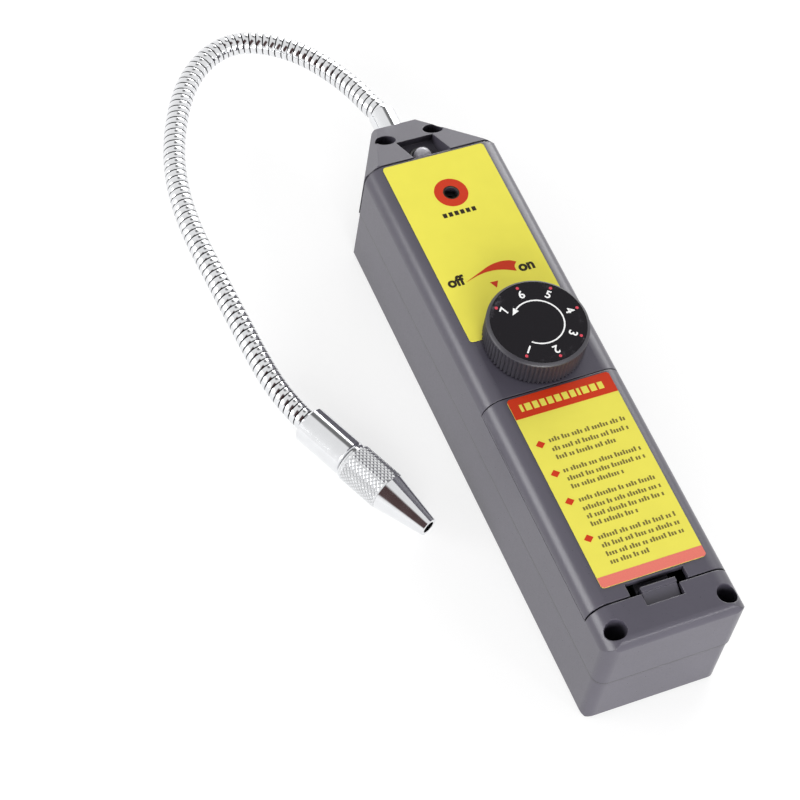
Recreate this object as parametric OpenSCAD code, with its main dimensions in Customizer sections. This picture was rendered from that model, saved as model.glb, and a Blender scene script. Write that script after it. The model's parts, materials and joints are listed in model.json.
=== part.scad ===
// Hand-held refrigerant leak detector, lying on its back.
// X runs across the case, Y runs from its battery end towards its nose, Z points out of its front panel.
// The origin is the middle of the flat back face.

/* [Case] */
// Width of the case at its parting line
case_w = 40; // [39:0.5:46]
// Depth of the case from its back to its front panel
case_h = 39; // [38.5:0.5:44]
// Length of the straight part of the case
case_len = 158; // [154:1:180]
// Length of the tapered nose
nose_len = 23; // [21:1:30]
// Width of the nose at its end
nose_end_w = 14; // [13:0.5:18]
// Depth of the nose at its end
nose_end_h = 11.5; // [11:0.5:14]
// Thickness of the moulded walls
wall = 2; // [1.6:0.1:2.4]
// Rounding of the long front edges
front_r = 5.5; // [4:0.5:6]
// Rounding of the long back edges
back_r = 2.5; // [2:0.5:4]
// Rounding of the two corners of the battery end
corner_r = 3.5; // [2:0.5:4]
// Rounding of the front and back edges of the battery end
end_r = 2.5; // [2:0.5:3]
// How far the rear half stands back from the front half all round
step_in = 0.4; // [0.1:0.05:0.5]

/* [Battery door] */
// Length of the fixed bridge below the door
end_bridge = 12; // [11:0.5:14]
// Length of the door opening
door_len = 64.7; // [62:0.1:72]
// Depth of the door's sides
door_skirt = 5.7; // [5:0.1:6.5]
// Thickness of the door
door_t = 1.8; // [1.5:0.1:2]
// Width of the finger cut-out in the door
finger_w = 16.6; // [15:0.2:20]
// Width of the spring clip that latches the door
clip_w = 9.8; // [8:0.2:12]

/* [Knob] */
// Radius of the knob at its foot
knob_r = 13.9; // [13:0.1:15]
// Height of the knob
knob_h = 8.6; // [8:0.1:10]
// Width of the rim round the dial plate
knob_rim_w = 0.65; // [0.6:0.05:1.6]
// Number of grip ribs
knob_ribs = 56; // [40:2:72]

/* [Labels] */
// Width of the label on the front panel
face_label_w = 30.5; // [28:0.5:32]
// Width of the label on the door
door_label_w = 29.7; // [26:0.5:31]
// Thickness of both labels
label_t = 0.2; // [0.15:0.05:0.3]

/* [Probe] */
// Outside diameter of the gooseneck's ridges
goose_d = 6.4; // [6:0.1:6.8]
// Spacing of the gooseneck's turns
goose_pitch = 2.05; // [1.8:0.05:2.6]
// Diameter of the ferrule that clamps the gooseneck in the nose
ferrule_d = 8; // [7.8:0.1:8.8]
// How far the ferrule stands out of the nose
ferrule_out = 8; // [6:0.5:12]
// Diameter of the smooth socket behind the tip
socket_d = 10.8; // [10.4:0.1:11.2]
// Length of the smooth part of the socket
socket_len = 16; // [14:0.5:20]
// Diameter of the tip's knurled grip
grip_d = 11.6; // [11.2:0.1:12.2]
// Length of the tip's knurled grip
grip_len = 14; // [13:0.5:18]
// Length of the tip's cone
cone_len = 15; // [13:0.5:20]
// Diameter of the open end of the cone
cone_end_d = 5.4; // [5:0.1:6]

/* [Hidden] */
$fn = 64;

// Case
pz = case_h / 2;
half_w = case_w / 2;
case_end = case_len + nose_len;
panel_in = case_h - wall;
nose_fall = (case_h - nose_end_h) / 2 / nose_len;
nose_lean = atan(nose_fall);
nose_narrow = (half_w - nose_end_w / 2) / nose_len;
nose_yaw = atan(nose_narrow);
nose_chamfer = 0.8;
nose_edge = 3.6;
nose_edge_end = 1.5;
parting_gap = 0.2;
lip_h = 1.5;
lip_fit = 0.15;
groove_w = 0.6;
groove_depth = 0.4;
least_r = 0.5;
spare = 2;
fit = 0.1;
eps = 0.01;

// Standard cylindrical cells, two across and two deep
cell_d = 14.5;
cell_len = 50.5;
cell_nub_r = 2.7;
cell_nub_h = 1;
cell_gap = 0.4;
cell_seam_r = 0.6;
cradle_h = 2;
cradle_ribs = 3;
cell_r = cell_d / 2;
cell_x = (cell_d + cell_gap) / 2;
cell_low_z = wall + cradle_h + cell_r;
cell_high_z = cell_low_z + cell_d + cell_gap;
cell_spots = [[-1, cell_low_z, 1], [1, cell_low_z, -1], [-1, cell_high_z, -1], [1, cell_high_z, 1]];

// Battery bay
door_y0 = end_bridge;
door_y1 = end_bridge + door_len;
door_edge_z = case_h - door_skirt;
bulkhead_t = 1.5;
bulkhead_back = 1;
bulkhead_gap = 0.4;
bulkhead_top = door_edge_z - bulkhead_gap;
contact_t = 0.4;
contact_w = 11;
spring_len = 4.5;
spring_r = 4.2;
spring_tip_r = 2.8;
spring_wire_r = 0.35;
spring_turns = 3;
bay_y0 = door_y0 + bulkhead_back + bulkhead_t;
cells_y0 = bay_y0 + contact_t + fit;
cells_y1 = cells_y0 + spring_len + cell_len;
bay_y1 = cells_y1 + fit + contact_t;

// Door
door_gap = 0.3;
door_swing_gap = 0.5;
door_in = case_h - door_t;
finger_len = 4;
tab_w = 6;
tab_x = 10;
tab_t = 1.4;
tab_reach = 1.4;
tab_root = 4;
tab_gap = 0.6;
tab_back = 0.2;
root_in = 0.5;
rib_t = 1.2;
rib_gap = 0.4;
clip_t = 1.2;
clip_depth = 5;
clip_y = door_y0 + 0.7;
clip_lip = 3.6;
clip_lip_t = 0.9;
clip_lip_fall = 1.3;
clip_drop = 0.5;
clip_root_gap = 0.4;
clip_notch_gap = 0.5;

// Control shaft and its panel fixing
knob_gap = 0.2;
knob_x = 0.5;
knob_y = door_y1 + knob_gap + knob_r;
knob_lift = 0.5;
knob_z = case_h + knob_lift;
knob_lean = 0.35;
knob_wall = 2;
knob_cap = 2.6;
knob_rib_depth = 0.5;
knob_rim_h = 2;
knob_rim_chamfer = 0.4;
knob_boss_r = 5;
knob_roof = 1.6;
rib_crest = 0.3;
dial_t = 0.6;
dial_r = knob_r - knob_lean - knob_rim_w;
shaft_r = 3;
shaft_run = 0.05;
shaft_grip = 0.03;
shaft_room = 0.2;
bushing_r = 3.5;
bushing_h = 3.2;
washer_r = 6;
washer_t = 0.5;
nut_flats = 10;
nut_t = 2;
pot_r = 8.4;
pot_h = 8;
pot_floor = 0.8;
pot_pins = [-5, 0, 5];
pot_pin_w = 1;
pot_pin_t = 0.6;

// Electronics
board_drop = 10.4;
board_t = 1.6;
board_top = panel_in - board_drop;
board_low = board_top - board_t;
board_half_w = half_w - wall - 2.5;
board_nose_half_w = 8;
board_y0 = knob_y - 12.5;
board_y1 = case_len + 8;
board_shoulder = case_len - 3;
board_screw_x = board_half_w - 3;
board_screw_y = [board_y0 + 4, board_shoulder - 4];
board_boss_r = 3;
board_pilot_r = 1.15;
board_shank_r = 1.1;
board_shank_len = 8;
board_head_r = 2.2;
board_head_h = 1.5;
coil_spot = [-5, 20];
coil_w = 16;
coil_depth = 13;
coil_leg = 4;
cap_spot = [9, 22];
cap_r = 4;
cap_h = 12;
chip_w = 8;
chip_reach = [36, 46];
chip_h = 2.5;
buzzer_x = -0.6;
buzzer_y = case_len - 14.6;
buzzer_r = 6;
buzzer_hole_r = 2;
buzzer_foot = 0.1;
buzzer_room = 0.6;
buzzer_mouth = 3;
led_y = case_len + 4.7;
led_r = 2.5;
led_flange_r = 2.9;
led_flange_t = 1;
led_rise = 4.6;
led_leg_r = 0.25;
led_leg_x = 1.27;
led_leg_in = 0.5;
pocket_w = 11.2;
pocket_len = 10.9;
pocket_depth = 9;
pocket_wall = 1.5;
pocket_z = case_h - pocket_depth;
holder_r = 4;
holder_h = 1.5;
holder_chamfer = 0.5;
wire_r = 0.7;
wire_gap = 0.2;
wire_end = board_low - wire_r - fit;
lead_y = bay_y1 + bulkhead_t + wire_r + wire_gap;
lead_z = wire_end - 2;
lead_screw_gap = 1.15;
lead_x = board_screw_x - board_head_r - wire_r - lead_screw_gap;

// Screws
screw_x = half_w - 4.3;
screw_y = 5.1;
nose_screw_x = 7.3;
nose_screw_y = case_end - 9;
screw_spots = [
    [-screw_x, screw_y], [screw_x, screw_y],
    [-nose_screw_x, nose_screw_y], [nose_screw_x, nose_screw_y],
];
screw_boss_r = 4.2;
screw_bore_r = 2.85;
screw_pass_r = 1.6;
screw_pilot_r = 1.5;
screw_shank_r = 1.45;
screw_shank_len = 10;
screw_head_r = 2.5;
screw_head_h = 1.9;
screw_seat = pz + 2.5;
screw_foot_room = 1;

// Labels
label_r = 1;
face_label_x = -0.4;
face_label_y0 = knob_y + 4.85;
face_label_y1 = case_len - 1.1;
face_label_shaft_r = 7.6;
face_label_sound_r = 2.1;
door_label_x = 0.6;
door_label_y0 = door_y0 + finger_len + 0.6;
door_label_y1 = door_y1 - 1;

// Ferrule
ferrule_r = ferrule_d / 2;
ferrule_flange_r = 4.8;
ferrule_flange_t = 2;
ferrule_tail = 1;
ferrule_bore_depth = 5;
ferrule_lead_r = 1.6;
goose_r = goose_d / 2;
goose_fit = 0.15;
goose_groove = 0.45;

// Bends of the gooseneck, counted from the ferrule's mouth, and the heading of the tip
goose_bends = [
    [-1.5, 4.8, -0.5], [-3.8, 12.8, -1], [-7.4, 21.1, -1.5], [-12.4, 29.1, -2], [-18, 34.9, -2.5],
    [-24, 38.8, -3], [-29.9, 40.5, -3.5], [-36, 39.8, -4], [-41.9, 36.8, -4.5], [-47.1, 32.3, -5],
    [-51.5, 26.7, -5.5], [-55.1, 20.6, -6], [-58.8, 12.7, -6.5], [-61.5, 4.6, -7], [-63.1, -3, -7.4],
    [-64, -12.1, -8], [-64, -22.1, -8.6], [-63.3, -32, -9.3], [-62.6, -42, -10], [-61.8, -51.9, -10.8],
    [-61, -61.1, -11.6], [-59.7, -70.2, -12.4], [-57.7, -77.7, -13],
];
tip_offset = [-55.3, -84.1, -13.3];
tip_heading = -66;
tip_way = [cos(tip_heading), sin(tip_heading), 0];
goose_mouth = [0, case_end + ferrule_out, pz];
tip_start = goose_mouth + tip_offset;
socket_bore_depth = 5;

// Tip
socket_r = socket_d / 2;
grip_r = grip_d / 2;
cone_end_r = cone_end_d / 2;
socket_chamfer = 0.7;
spigot_r = 3.7;
spigot_len = 9;
spigot_fit = 0.1;
cover_wall = 0.9;
cover_gap = 0.3;
knurl_depth = 0.3;
knurl_count = 48;
knurl_rows = 20;
knurl_margin = 0.6;
cone_step = 0.2;
sensor_r = 3.2;
sensor_h = 4;
sensor_room = 0.6;
sensor_stem_r = 2;
sensor_stem_len = 5;
needle_r = 0.4;
needle_h = 9;
needle_seat = 2;
needle_point = 1.5;
needle_tip_r = 0.1;
collar_r = 2.1;
collar_t = 0.4;
collar_h = 6;

// Moves the battery end's y = 0 so that the middle of the back face is the origin
module in_frame() {
    translate([0, -case_len / 2, 0]) children();
}

// Direction of a vector
function unit(v) = v / norm(v);
// Half the angle at corner p between its neighbours a and b
function half_angle(a, p, b) = acos(unit(a - p) * unit(b - p)) / 2;
// A corner's two tangent points, or the corner itself where it is sharp
function corner_points(a, p, b, r) =
    let (reach = r / tan(half_angle(a, p, b)))
    r == 0 ? [p] : [p + unit(a - p) * reach, p + unit(b - p) * reach];
// Centre of the arc that rounds a corner
function corner_centre(a, p, b, r) =
    p + unit(unit(a - p) + unit(b - p)) * r / sin(half_angle(a, p, b));

// A convex outline with an arc of its own radius in each corner
module rounded_outline(points, radii) {
    count = len(points);
    before = [for (i = [0:count - 1]) points[(i + count - 1) % count]];
    after = [for (i = [0:count - 1]) points[(i + 1) % count]];
    polygon([
        for (i = [0:count - 1])
            each corner_points(before[i], points[i], after[i], radii[i])
    ]);
    for (i = [0:count - 1])
        if (radii[i] > 0)
            translate(corner_centre(before[i], points[i], after[i], radii[i])) circle(r = radii[i]);
}

// Cross-section of the case, from side to side and from back to front
module case_section(inset) {
    wide = half_w - inset;
    back = max(back_r - inset, least_r);
    front = max(front_r - inset, least_r);
    rounded_outline(
        [[-wide, inset], [wide, inset], [wide, case_h - inset], [-wide, case_h - inset]],
        [back, back, front, front]
    );
}

// Side outline of the case, from the battery end to the chamfered nose
module case_profile(inset) {
    bend = case_len - inset * tan(nose_lean / 2);
    tip = case_end - inset;
    rise = pz - (nose_len - inset) * nose_fall - inset / cos(nose_lean);
    round_end = max(end_r - inset, least_r);
    rounded_outline(
        [
            [inset, inset], [bend, inset],
            [tip - nose_chamfer, pz - rise - nose_chamfer * nose_fall], [tip, pz - rise + nose_chamfer],
            [tip, pz + rise - nose_chamfer], [tip - nose_chamfer, pz + rise + nose_chamfer * nose_fall],
            [bend, case_h - inset], [inset, case_h - inset],
        ],
        [round_end, 0, 0, 0, 0, 0, 0, round_end]
    );
}

// Outline that narrows the nose towards its end and stays clear of the straight part
module nose_plan(inset) {
    wide = half_w + spare;
    tip = case_end - inset;
    narrow = half_w - (nose_len - inset) * nose_narrow - inset / cos(nose_yaw);
    bend = tip - (wide - narrow) / nose_narrow;
    side = narrow + nose_chamfer * nose_narrow;
    polygon([
        [-wide, -spare], [wide, -spare], [wide, bend], [side, tip - nose_chamfer],
        [narrow - 2 * nose_chamfer, tip + nose_chamfer], [2 * nose_chamfer - narrow, tip + nose_chamfer],
        [-side, tip - nose_chamfer], [-wide, bend],
    ]);
}

// What is cut away to round the two upright corners of the battery end
module corner_cut(inset) {
    r = max(corner_r - inset, least_r);
    for (side = [-1, 1])
        translate([side * (half_w - inset - r), inset + r, 0]) difference() {
            translate([side > 0 ? 0 : -r - spare, -r - spare]) square(r + spare);
            circle(r = r);
        }
}

// What is cut away to bevel the right front edge of the nose, from the shoulder to its end
module nose_edge_cut(inset) {
    shoulder = [half_w - nose_edge, case_len, case_h];
    below = [half_w, case_len, case_h - nose_edge];
    ahead = [nose_end_w / 2 - nose_edge_end, case_end, pz + nose_end_h / 2];
    out = unit(cross(below - shoulder, ahead - shoulder));
    reach = 2 * nose_len;
    intersection() {
        translate(shoulder - out * inset) rotate([0, acos(out[2]), atan2(out[1], out[0])])
            translate([-reach, -reach, 0]) cube([2 * reach, 2 * reach, case_w]);
        slab(pz, case_h + 1, case_len);
    }
}

// The case as one solid, or its inside when inset by a wall
module case_solid(inset = 0) {
    difference() {
        intersection() {
            translate([0, case_end + 1, 0]) rotate([90, 0, 0])
                linear_extrude(case_end + 2) case_section(inset);
            translate([-half_w - 1, 0, 0]) rotate([90, 0, 90])
                linear_extrude(case_w + 2) case_profile(inset);
            translate([0, 0, -1]) linear_extrude(case_h + 2) nose_plan(inset);
        }
        translate([0, 0, -1]) linear_extrude(case_h + 2) corner_cut(inset);
        nose_edge_cut(inset);
        mirror([1, 0, 0]) nose_edge_cut(inset);
    }
}

// The upright walls of the rear half, which stand back a little all round
module rear_walls() {
    translate([0, 0, -1]) linear_extrude(pz + 1 - parting_gap / 2) difference() {
        intersection() {
            translate([step_in - half_w, step_in]) square([case_w - 2 * step_in, case_end]);
            nose_plan(step_in);
        }
        corner_cut(step_in);
    }
}

// A slab across the whole case between two heights and two places along it
module slab(z0, z1, y0 = -1, y1 = case_end + 1) {
    translate([-half_w - 1, y0, z0]) cube([case_w + 2, y1 - y0, z1 - z0]);
}

// A block centred on x = 0
module block(w, y0, y1, z0, z1) {
    translate([-w / 2, y0, z0]) cube([w, y1 - y0, z1 - z0]);
}

// An upright bar between two heights
module post(r, z0, z1) {
    translate([0, 0, z0]) cylinder(r = r, h = z1 - z0);
}

// The hole in the nose that both shells close round the ferrule, with the seat for its flange
module ferrule_hole() {
    translate([0, case_end - wall - 1, pz]) rotate([-90, 0, 0]) cylinder(r = ferrule_r + fit, h = wall + 2);
    translate([0, case_end - wall - ferrule_flange_t - fit, pz]) rotate([-90, 0, 0])
        cylinder(r = ferrule_flange_r + fit, h = ferrule_flange_t + fit);
}

module at_screws() {
    for (spot = screw_spots) translate([spot[0], spot[1], 0]) children();
}

module at_board_screws() {
    for (side = [-1, 1])
        for (y = board_screw_y)
            translate([side * board_screw_x, y, 0]) children();
}

// Front half of the case, with the panel, the nose and the opening for the door
module front_shell() {
    color("#5f5d66") in_frame() difference() {
        union() {
            difference() {
                case_solid();
                case_solid(wall);
            }
            intersection() {
                case_solid(wall / 4);
                union() {
                    at_screws() post(screw_boss_r, 0, case_h);
                    block(
                        pocket_w + 2 * pocket_wall,
                        case_len - pocket_wall,
                        case_len + pocket_len + pocket_wall,
                        pocket_z - pocket_wall,
                        case_h
                    );
                }
            }
            at_board_screws() post(board_boss_r, board_top, panel_in + wall / 2);
        }
        slab(-1, pz + parting_gap / 2);
        intersection() {
            case_solid(wall / 2);
            slab(pz, pz + lip_h + lip_fit);
        }
        slab(door_edge_z, case_h + 1, door_y0, door_y1);
        block(
            clip_w + 2 * clip_notch_gap,
            clip_y - clip_lip - clip_notch_gap,
            door_y0 + 1,
            panel_in - clip_depth,
            case_h + 1
        );
        at_screws() post(screw_bore_r, screw_seat, case_h + 1);
        at_screws() post(screw_pass_r, 0, case_h);
        at_board_screws() post(board_pilot_r, board_top - 1, panel_in);
        at_knob() post(bushing_r + fit, panel_in - 1, case_h + 1);
        translate([buzzer_x, buzzer_y, 0]) post(buzzer_hole_r, panel_in - 1, case_h + 1);
        block(pocket_w, case_len, case_len + pocket_len, pocket_z, case_h + 1);
        translate([0, led_y, 0]) post(led_r + fit, pocket_z - pocket_wall - 1, pocket_z + 1);
        ferrule_hole();
        difference() {
            slab(pz, case_h + 1, case_len - groove_w, case_len);
            case_solid(groove_depth);
        }
    }
}

// Rear half of the case, with the bay for the cells, the screw posts and the lip that enters the front half
module rear_shell() {
    color("#67656e") in_frame() difference() {
        union() {
            difference() {
                intersection() {
                    case_solid();
                    rear_walls();
                }
                case_solid(wall);
            }
            intersection() {
                difference() {
                    case_solid(wall / 2 + lip_fit);
                    case_solid(wall);
                }
                slab(pz - lip_h, pz + lip_h);
            }
            intersection() {
                case_solid(wall / 4);
                at_screws() post(screw_boss_r, 0, pz - parting_gap / 2);
            }
            intersection() {
                case_solid(wall / 2);
                union() {
                    bulkheads(pz - lip_h);
                    cradle();
                }
            }
            intersection() {
                case_solid(wall + door_gap);
                bulkheads(bulkhead_top);
            }
        }
        for (spot = cell_spots)
            translate([spot[0] * cell_x, cells_y0, spot[1]]) rotate([-90, 0, 0])
                cylinder(r = cell_r + fit, h = cells_y1 - cells_y0);
        at_screws() post(screw_pilot_r, screw_seat - screw_shank_len - screw_foot_room, case_h);
        ferrule_hole();
    }
}

// The two walls that end the battery bay
module bulkheads(top) {
    slab(0, top, bay_y0 - bulkhead_t, bay_y0);
    slab(0, top, bay_y1, bay_y1 + bulkhead_t);
}

// Ribs across the floor that the lower cells lie in
module cradle() {
    step = (bay_y1 - bay_y0) / (cradle_ribs + 1);
    for (i = [1:cradle_ribs])
        slab(0, cell_low_z, bay_y0 + i * step - rib_t / 2, bay_y0 + i * step + rib_t / 2);
}

// Lid over the cells, with hooked tabs that it tips up on and a spring clip at its foot
module battery_door() {
    low = door_y0 + door_swing_gap;
    high = door_y1 - door_gap;
    rib_foot = cell_high_z + cell_r + rib_gap;
    color("#5b5962") in_frame() difference() {
        union() {
            intersection() {
                difference() {
                    case_solid();
                    case_solid(door_t);
                }
                slab(door_edge_z + door_gap, case_h + 1, low, high);
            }
            for (side = [-1, 1])
                translate([side * tab_x, 0, 0]) door_tab(high);
            for (side = [-1, 1])
                translate([side * cell_x, 0, 0])
                    block(rib_t, bay_y0 + spring_len, bay_y1 - spring_len, rib_foot, door_in + root_in);
            door_clip();
        }
        finger_cut(low);
    }
}

// A tab that hooks under the panel's edge
module door_tab(high) {
    top = door_in - tab_gap;
    block(tab_w, high - tab_root, door_y1 + tab_reach, top - tab_t, top);
    block(tab_w, high - tab_root, high - tab_back, top - tab_t, door_in + root_in);
}

// The cut-out for a fingertip, which leaves the clip standing
module finger_cut(low) {
    difference() {
        block(finger_w, low - 1, door_y0 + finger_len, door_in - 1, case_h + 1);
        block(clip_w, clip_y - clip_lip - 1, clip_y + clip_t, 0, case_h + 1);
    }
}

// Springy U moulded under the door, with the sloped lip that catches in the bridge
module door_clip() {
    top = case_h - clip_drop;
    foot = case_h - clip_depth;
    root = door_y0 + finger_len + clip_root_gap;
    lip_top = top - clip_lip_fall;
    translate([-clip_w / 2, 0, 0]) rotate([90, 0, 90]) linear_extrude(clip_w) polygon([
        [clip_y, foot], [root + clip_t, foot], [root + clip_t, door_in + root_in], [root, door_in + root_in],
        [root, foot + clip_t], [clip_y + clip_t, foot + clip_t], [clip_y + clip_t, top], [clip_y, top],
        [clip_y - clip_lip, lip_top], [clip_y - clip_lip, lip_top - clip_lip_t],
        [clip_y, lip_top - clip_lip_t],
    ]);
}

// Flat label with round corners
module label_sheet(x, w, y0, y1) {
    translate([x, 0, case_h]) linear_extrude(label_t) rounded_outline(
        [[-w / 2, y0], [w / 2, y0], [w / 2, y1], [-w / 2, y1]],
        [label_r, label_r, label_r, label_r]
    );
}

module face_label() {
    color("#e8e25c") in_frame() difference() {
        label_sheet(face_label_x, face_label_w, face_label_y0, face_label_y1);
        at_knob() post(face_label_shaft_r, case_h - 1, case_h + 1);
        translate([buzzer_x, buzzer_y, 0]) post(face_label_sound_r, case_h - 1, case_h + 1);
    }
}

module door_label() {
    color("#f2e874") in_frame() label_sheet(door_label_x, door_label_w, door_label_y0, door_label_y1);
}

module at_knob() {
    translate([knob_x, knob_y, 0]) children();
}

// Hollow knob with a ribbed skirt, a smooth rim and a boss that grips the shaft
module sensitivity_knob() {
    rim_r = knob_r - knob_lean;
    rib_top = knob_h - knob_rim_h;
    color("#6a6870") in_frame() at_knob() translate([0, 0, knob_z]) difference() {
        union() {
            intersection() {
                linear_extrude(rib_top) rib_outline();
                cylinder(r1 = knob_r, r2 = rim_r, h = rib_top);
            }
            translate([0, 0, rib_top]) rotate_extrude() polygon([
                [0, 0], [rim_r, 0], [rim_r, knob_rim_h - knob_rim_chamfer],
                [rim_r - knob_rim_chamfer, knob_rim_h], [0, knob_rim_h],
            ]);
        }
        difference() {
            post(knob_r - knob_rib_depth - knob_wall, -1, knob_h - knob_cap);
            post(knob_boss_r, bushing_h, knob_h);
        }
        post(shaft_r + shaft_grip, -1, knob_h - dial_t - knob_roof);
        post(dial_r + fit / 2, knob_h - dial_t, knob_h + 1);
    }
}

// Outline of the knob's grip ribs, cut off at the top by the skirt's slope
module rib_outline() {
    step = 360 / knob_ribs;
    root = knob_r - knob_lean - knob_rib_depth;
    crest = knob_r + rib_crest;
    polygon([
        for (i = [0:knob_ribs - 1])
            each [
                [crest * cos(i * step), crest * sin(i * step)],
                [root * cos((i + 0.5) * step), root * sin((i + 0.5) * step)],
            ]
    ]);
}

module dial_plate() {
    color("#232126") in_frame() at_knob()
        translate([0, 0, knob_z + knob_h - dial_t]) cylinder(r = dial_r, h = dial_t);
}

module pot_shaft() {
    low = panel_in - pot_h + pot_floor + shaft_room;
    high = knob_z + knob_h - dial_t - knob_roof - shaft_room;
    color("#c9c9cc") in_frame() at_knob() post(shaft_r, low, high);
}

// Control with a threaded bushing through the panel, and three pins down to the board
module pot_body() {
    low = panel_in - pot_h;
    color("#8f9096") in_frame() at_knob() difference() {
        union() {
            post(pot_r, low, panel_in);
            post(bushing_r, panel_in - 1, case_h + bushing_h);
            for (x = pot_pins)
                translate([x, 0, 0]) block(pot_pin_w, 1 - pot_r, 1 - pot_r + pot_pin_t, board_top, low + 1);
        }
        post(shaft_r + shaft_run, low + pot_floor, case_h + bushing_h + 1);
    }
}

module pot_washer() {
    color("#b8b8bc") in_frame() at_knob() translate([0, 0, case_h]) difference() {
        cylinder(r = washer_r, h = washer_t);
        post(bushing_r + fit, -1, washer_t + 1);
    }
}

module pot_nut() {
    color("#c2c2c6") in_frame() at_knob() translate([0, 0, case_h + washer_t]) difference() {
        cylinder(r = nut_flats / 2 / cos(30), h = nut_t, $fn = 6);
        post(bushing_r + fit / 2, -1, nut_t + 1);
    }
}

// Board that hangs on four bosses behind the panel and runs on under the lamp
module circuit_board() {
    color("#2f6b45") in_frame() translate([0, 0, board_low]) difference() {
        linear_extrude(board_t) polygon([
            [-board_half_w, board_y0], [board_half_w, board_y0], [board_half_w, board_shoulder],
            [board_nose_half_w, board_y1], [-board_nose_half_w, board_y1], [-board_half_w, board_shoulder],
        ]);
        at_board_screws() post(board_shank_r + fit, -1, board_t + 1);
    }
}

// Ferrite core with a wound bobbin, which makes the probe's high voltage
module transformer() {
    low = board_low - coil_depth;
    color("#4a4a4f") in_frame() at_knob() translate(coil_spot) {
        block(coil_w, -coil_leg / 2, coil_leg / 2, low, board_low);
        post(coil_w / 2 - 1, low + coil_leg, board_low - coil_leg);
    }
}

module capacitor() {
    color("#30404f") in_frame() at_knob() translate(cap_spot) post(cap_r, board_low - cap_h, board_low);
}

module control_chip() {
    color("#26262a") in_frame() at_knob()
        block(chip_w, chip_reach[0], chip_reach[1], board_low - chip_h, board_low);
}

// Sounder under the hole in the panel
module buzzer() {
    color("#222226") in_frame() translate([buzzer_x, buzzer_y, 0]) difference() {
        post(buzzer_r, board_top + buzzer_foot, panel_in - buzzer_room);
        post(buzzer_hole_r / 2, panel_in - buzzer_room - buzzer_mouth, panel_in);
    }
}

// Clear round lamp with a flange under the pocket's floor and two legs to the board
module indicator_led() {
    flange_top = pocket_z - pocket_wall;
    crown = pocket_z + led_rise;
    color("#e6e6ec") in_frame() translate([0, led_y, 0]) {
        post(led_flange_r, flange_top - led_flange_t, flange_top);
        post(led_r, flange_top - led_flange_t, crown - led_r);
        intersection() {
            translate([0, 0, crown - led_r]) sphere(r = led_r);
            post(led_r + 1, crown - led_r - eps, crown + 1);
        }
        for (side = [-1, 1])
            translate([side * led_leg_x, 0, 0])
                post(led_leg_r, board_top, flange_top - led_flange_t + led_leg_in);
    }
}

module led_holder() {
    color("#3a393f") in_frame() translate([0, led_y, pocket_z]) rotate_extrude() polygon([
        [led_r + fit, 0], [holder_r, 0], [holder_r, holder_h - holder_chamfer],
        [holder_r - holder_chamfer, holder_h], [led_r + holder_chamfer, holder_h],
        [led_r + fit, holder_h - holder_chamfer],
    ]);
}

// One cell with its terminal nub, pointing towards the nose or the battery end
module cell(i) {
    spot = cell_spots[i];
    flat = cell_len - cell_nub_h;
    start = spot[2] > 0 ? cells_y0 + spring_len : cells_y1 - spring_len;
    color("#3c4a57") in_frame() translate([spot[0] * cell_x, start, spot[1]]) rotate([-90 * spot[2], 0, 0])
        rotate_extrude() polygon([
            [0, 0], [cell_r - cell_seam_r, 0], [cell_r, cell_seam_r], [cell_r, flat - cell_seam_r],
            [cell_r - cell_seam_r, flat], [cell_nub_r, flat], [cell_nub_r, cell_len], [0, cell_len],
        ]);
}

// A closed tube through a list of rings, each a list of points in turn
module tube_skin(rings) {
    sides = len(rings[0]);
    last = len(rings) - 1;
    polyhedron(
        [for (ring = rings) each ring],
        concat(
            [[for (j = [0:sides - 1]) j]],
            [
                for (i = [0:last - 1])
                    for (j = [0:sides - 1])
                        let (a = i * sides + j, b = i * sides + (j + 1) % sides)
                        each [[a, a + sides, b], [b, a + sides, b + sides]]
            ],
            [[for (j = [sides - 1:-1:0]) last * sides + j]]
        )
    );
}

// Conical coil between a cell's flat end and its contact plate
module contact_spring(i) {
    spot = cell_spots[i];
    sides = 6;
    steps = 12;
    y = spot[2] > 0 ? cells_y0 : cells_y1;
    rise = spring_len - 2 * spring_wire_r - fit;
    rings = [
        for (k = [0:spring_turns * steps])
            let (
                part = k / spring_turns / steps,
                turn = 360 * k / steps,
                r = spring_r + (spring_tip_r - spring_r) * part,
                way = [cos(turn), sin(turn), 0]
            )
            [
                for (j = [0:sides - 1])
                    way * (r + spring_wire_r * cos(360 * j / sides))
                    + [0, 0, spring_wire_r + fit / 2 + rise * part + spring_wire_r * sin(360 * j / sides)]
            ]
    ];
    color("#c7c8cc") in_frame() translate([spot[0] * cell_x, y, spot[1]]) rotate([-90 * spot[2], 0, 0])
        tube_skin(rings);
}

// Contact plate on a bulkhead that spans the given columns and rows of cells
module contact_plate(y, columns, rows) {
    x0 = min(columns) * cell_x - contact_w / 2;
    x1 = max(columns) * cell_x + contact_w / 2;
    z0 = min(rows) - contact_w / 2;
    z1 = max(rows) + contact_w / 2;
    color("#d0d1d4") in_frame() translate([x0, y, z0]) cube([x1 - x0, contact_t, z1 - z0]);
}

module bottom_plate_left() {
    contact_plate(bay_y0, [-1], [cell_low_z, cell_high_z]);
}

module bottom_plate_right() {
    contact_plate(bay_y0, [1], [cell_low_z, cell_high_z]);
}

module top_bridge_plate() {
    contact_plate(bay_y1 - contact_t, [-1, 1], [cell_low_z]);
}

module top_terminal_left() {
    contact_plate(bay_y1 - contact_t, [-1], [cell_high_z]);
}

module top_terminal_right() {
    contact_plate(bay_y1 - contact_t, [1], [cell_high_z]);
}

// Smooth curve through four neighbouring points, between the middle two
function curve(a, b, c, d, t) =
    (2 * b + (c - a) * t + (2 * a - 5 * b + 4 * c - d) * t * t + (3 * b - a - 3 * c + d) * t * t * t) / 2;

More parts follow.
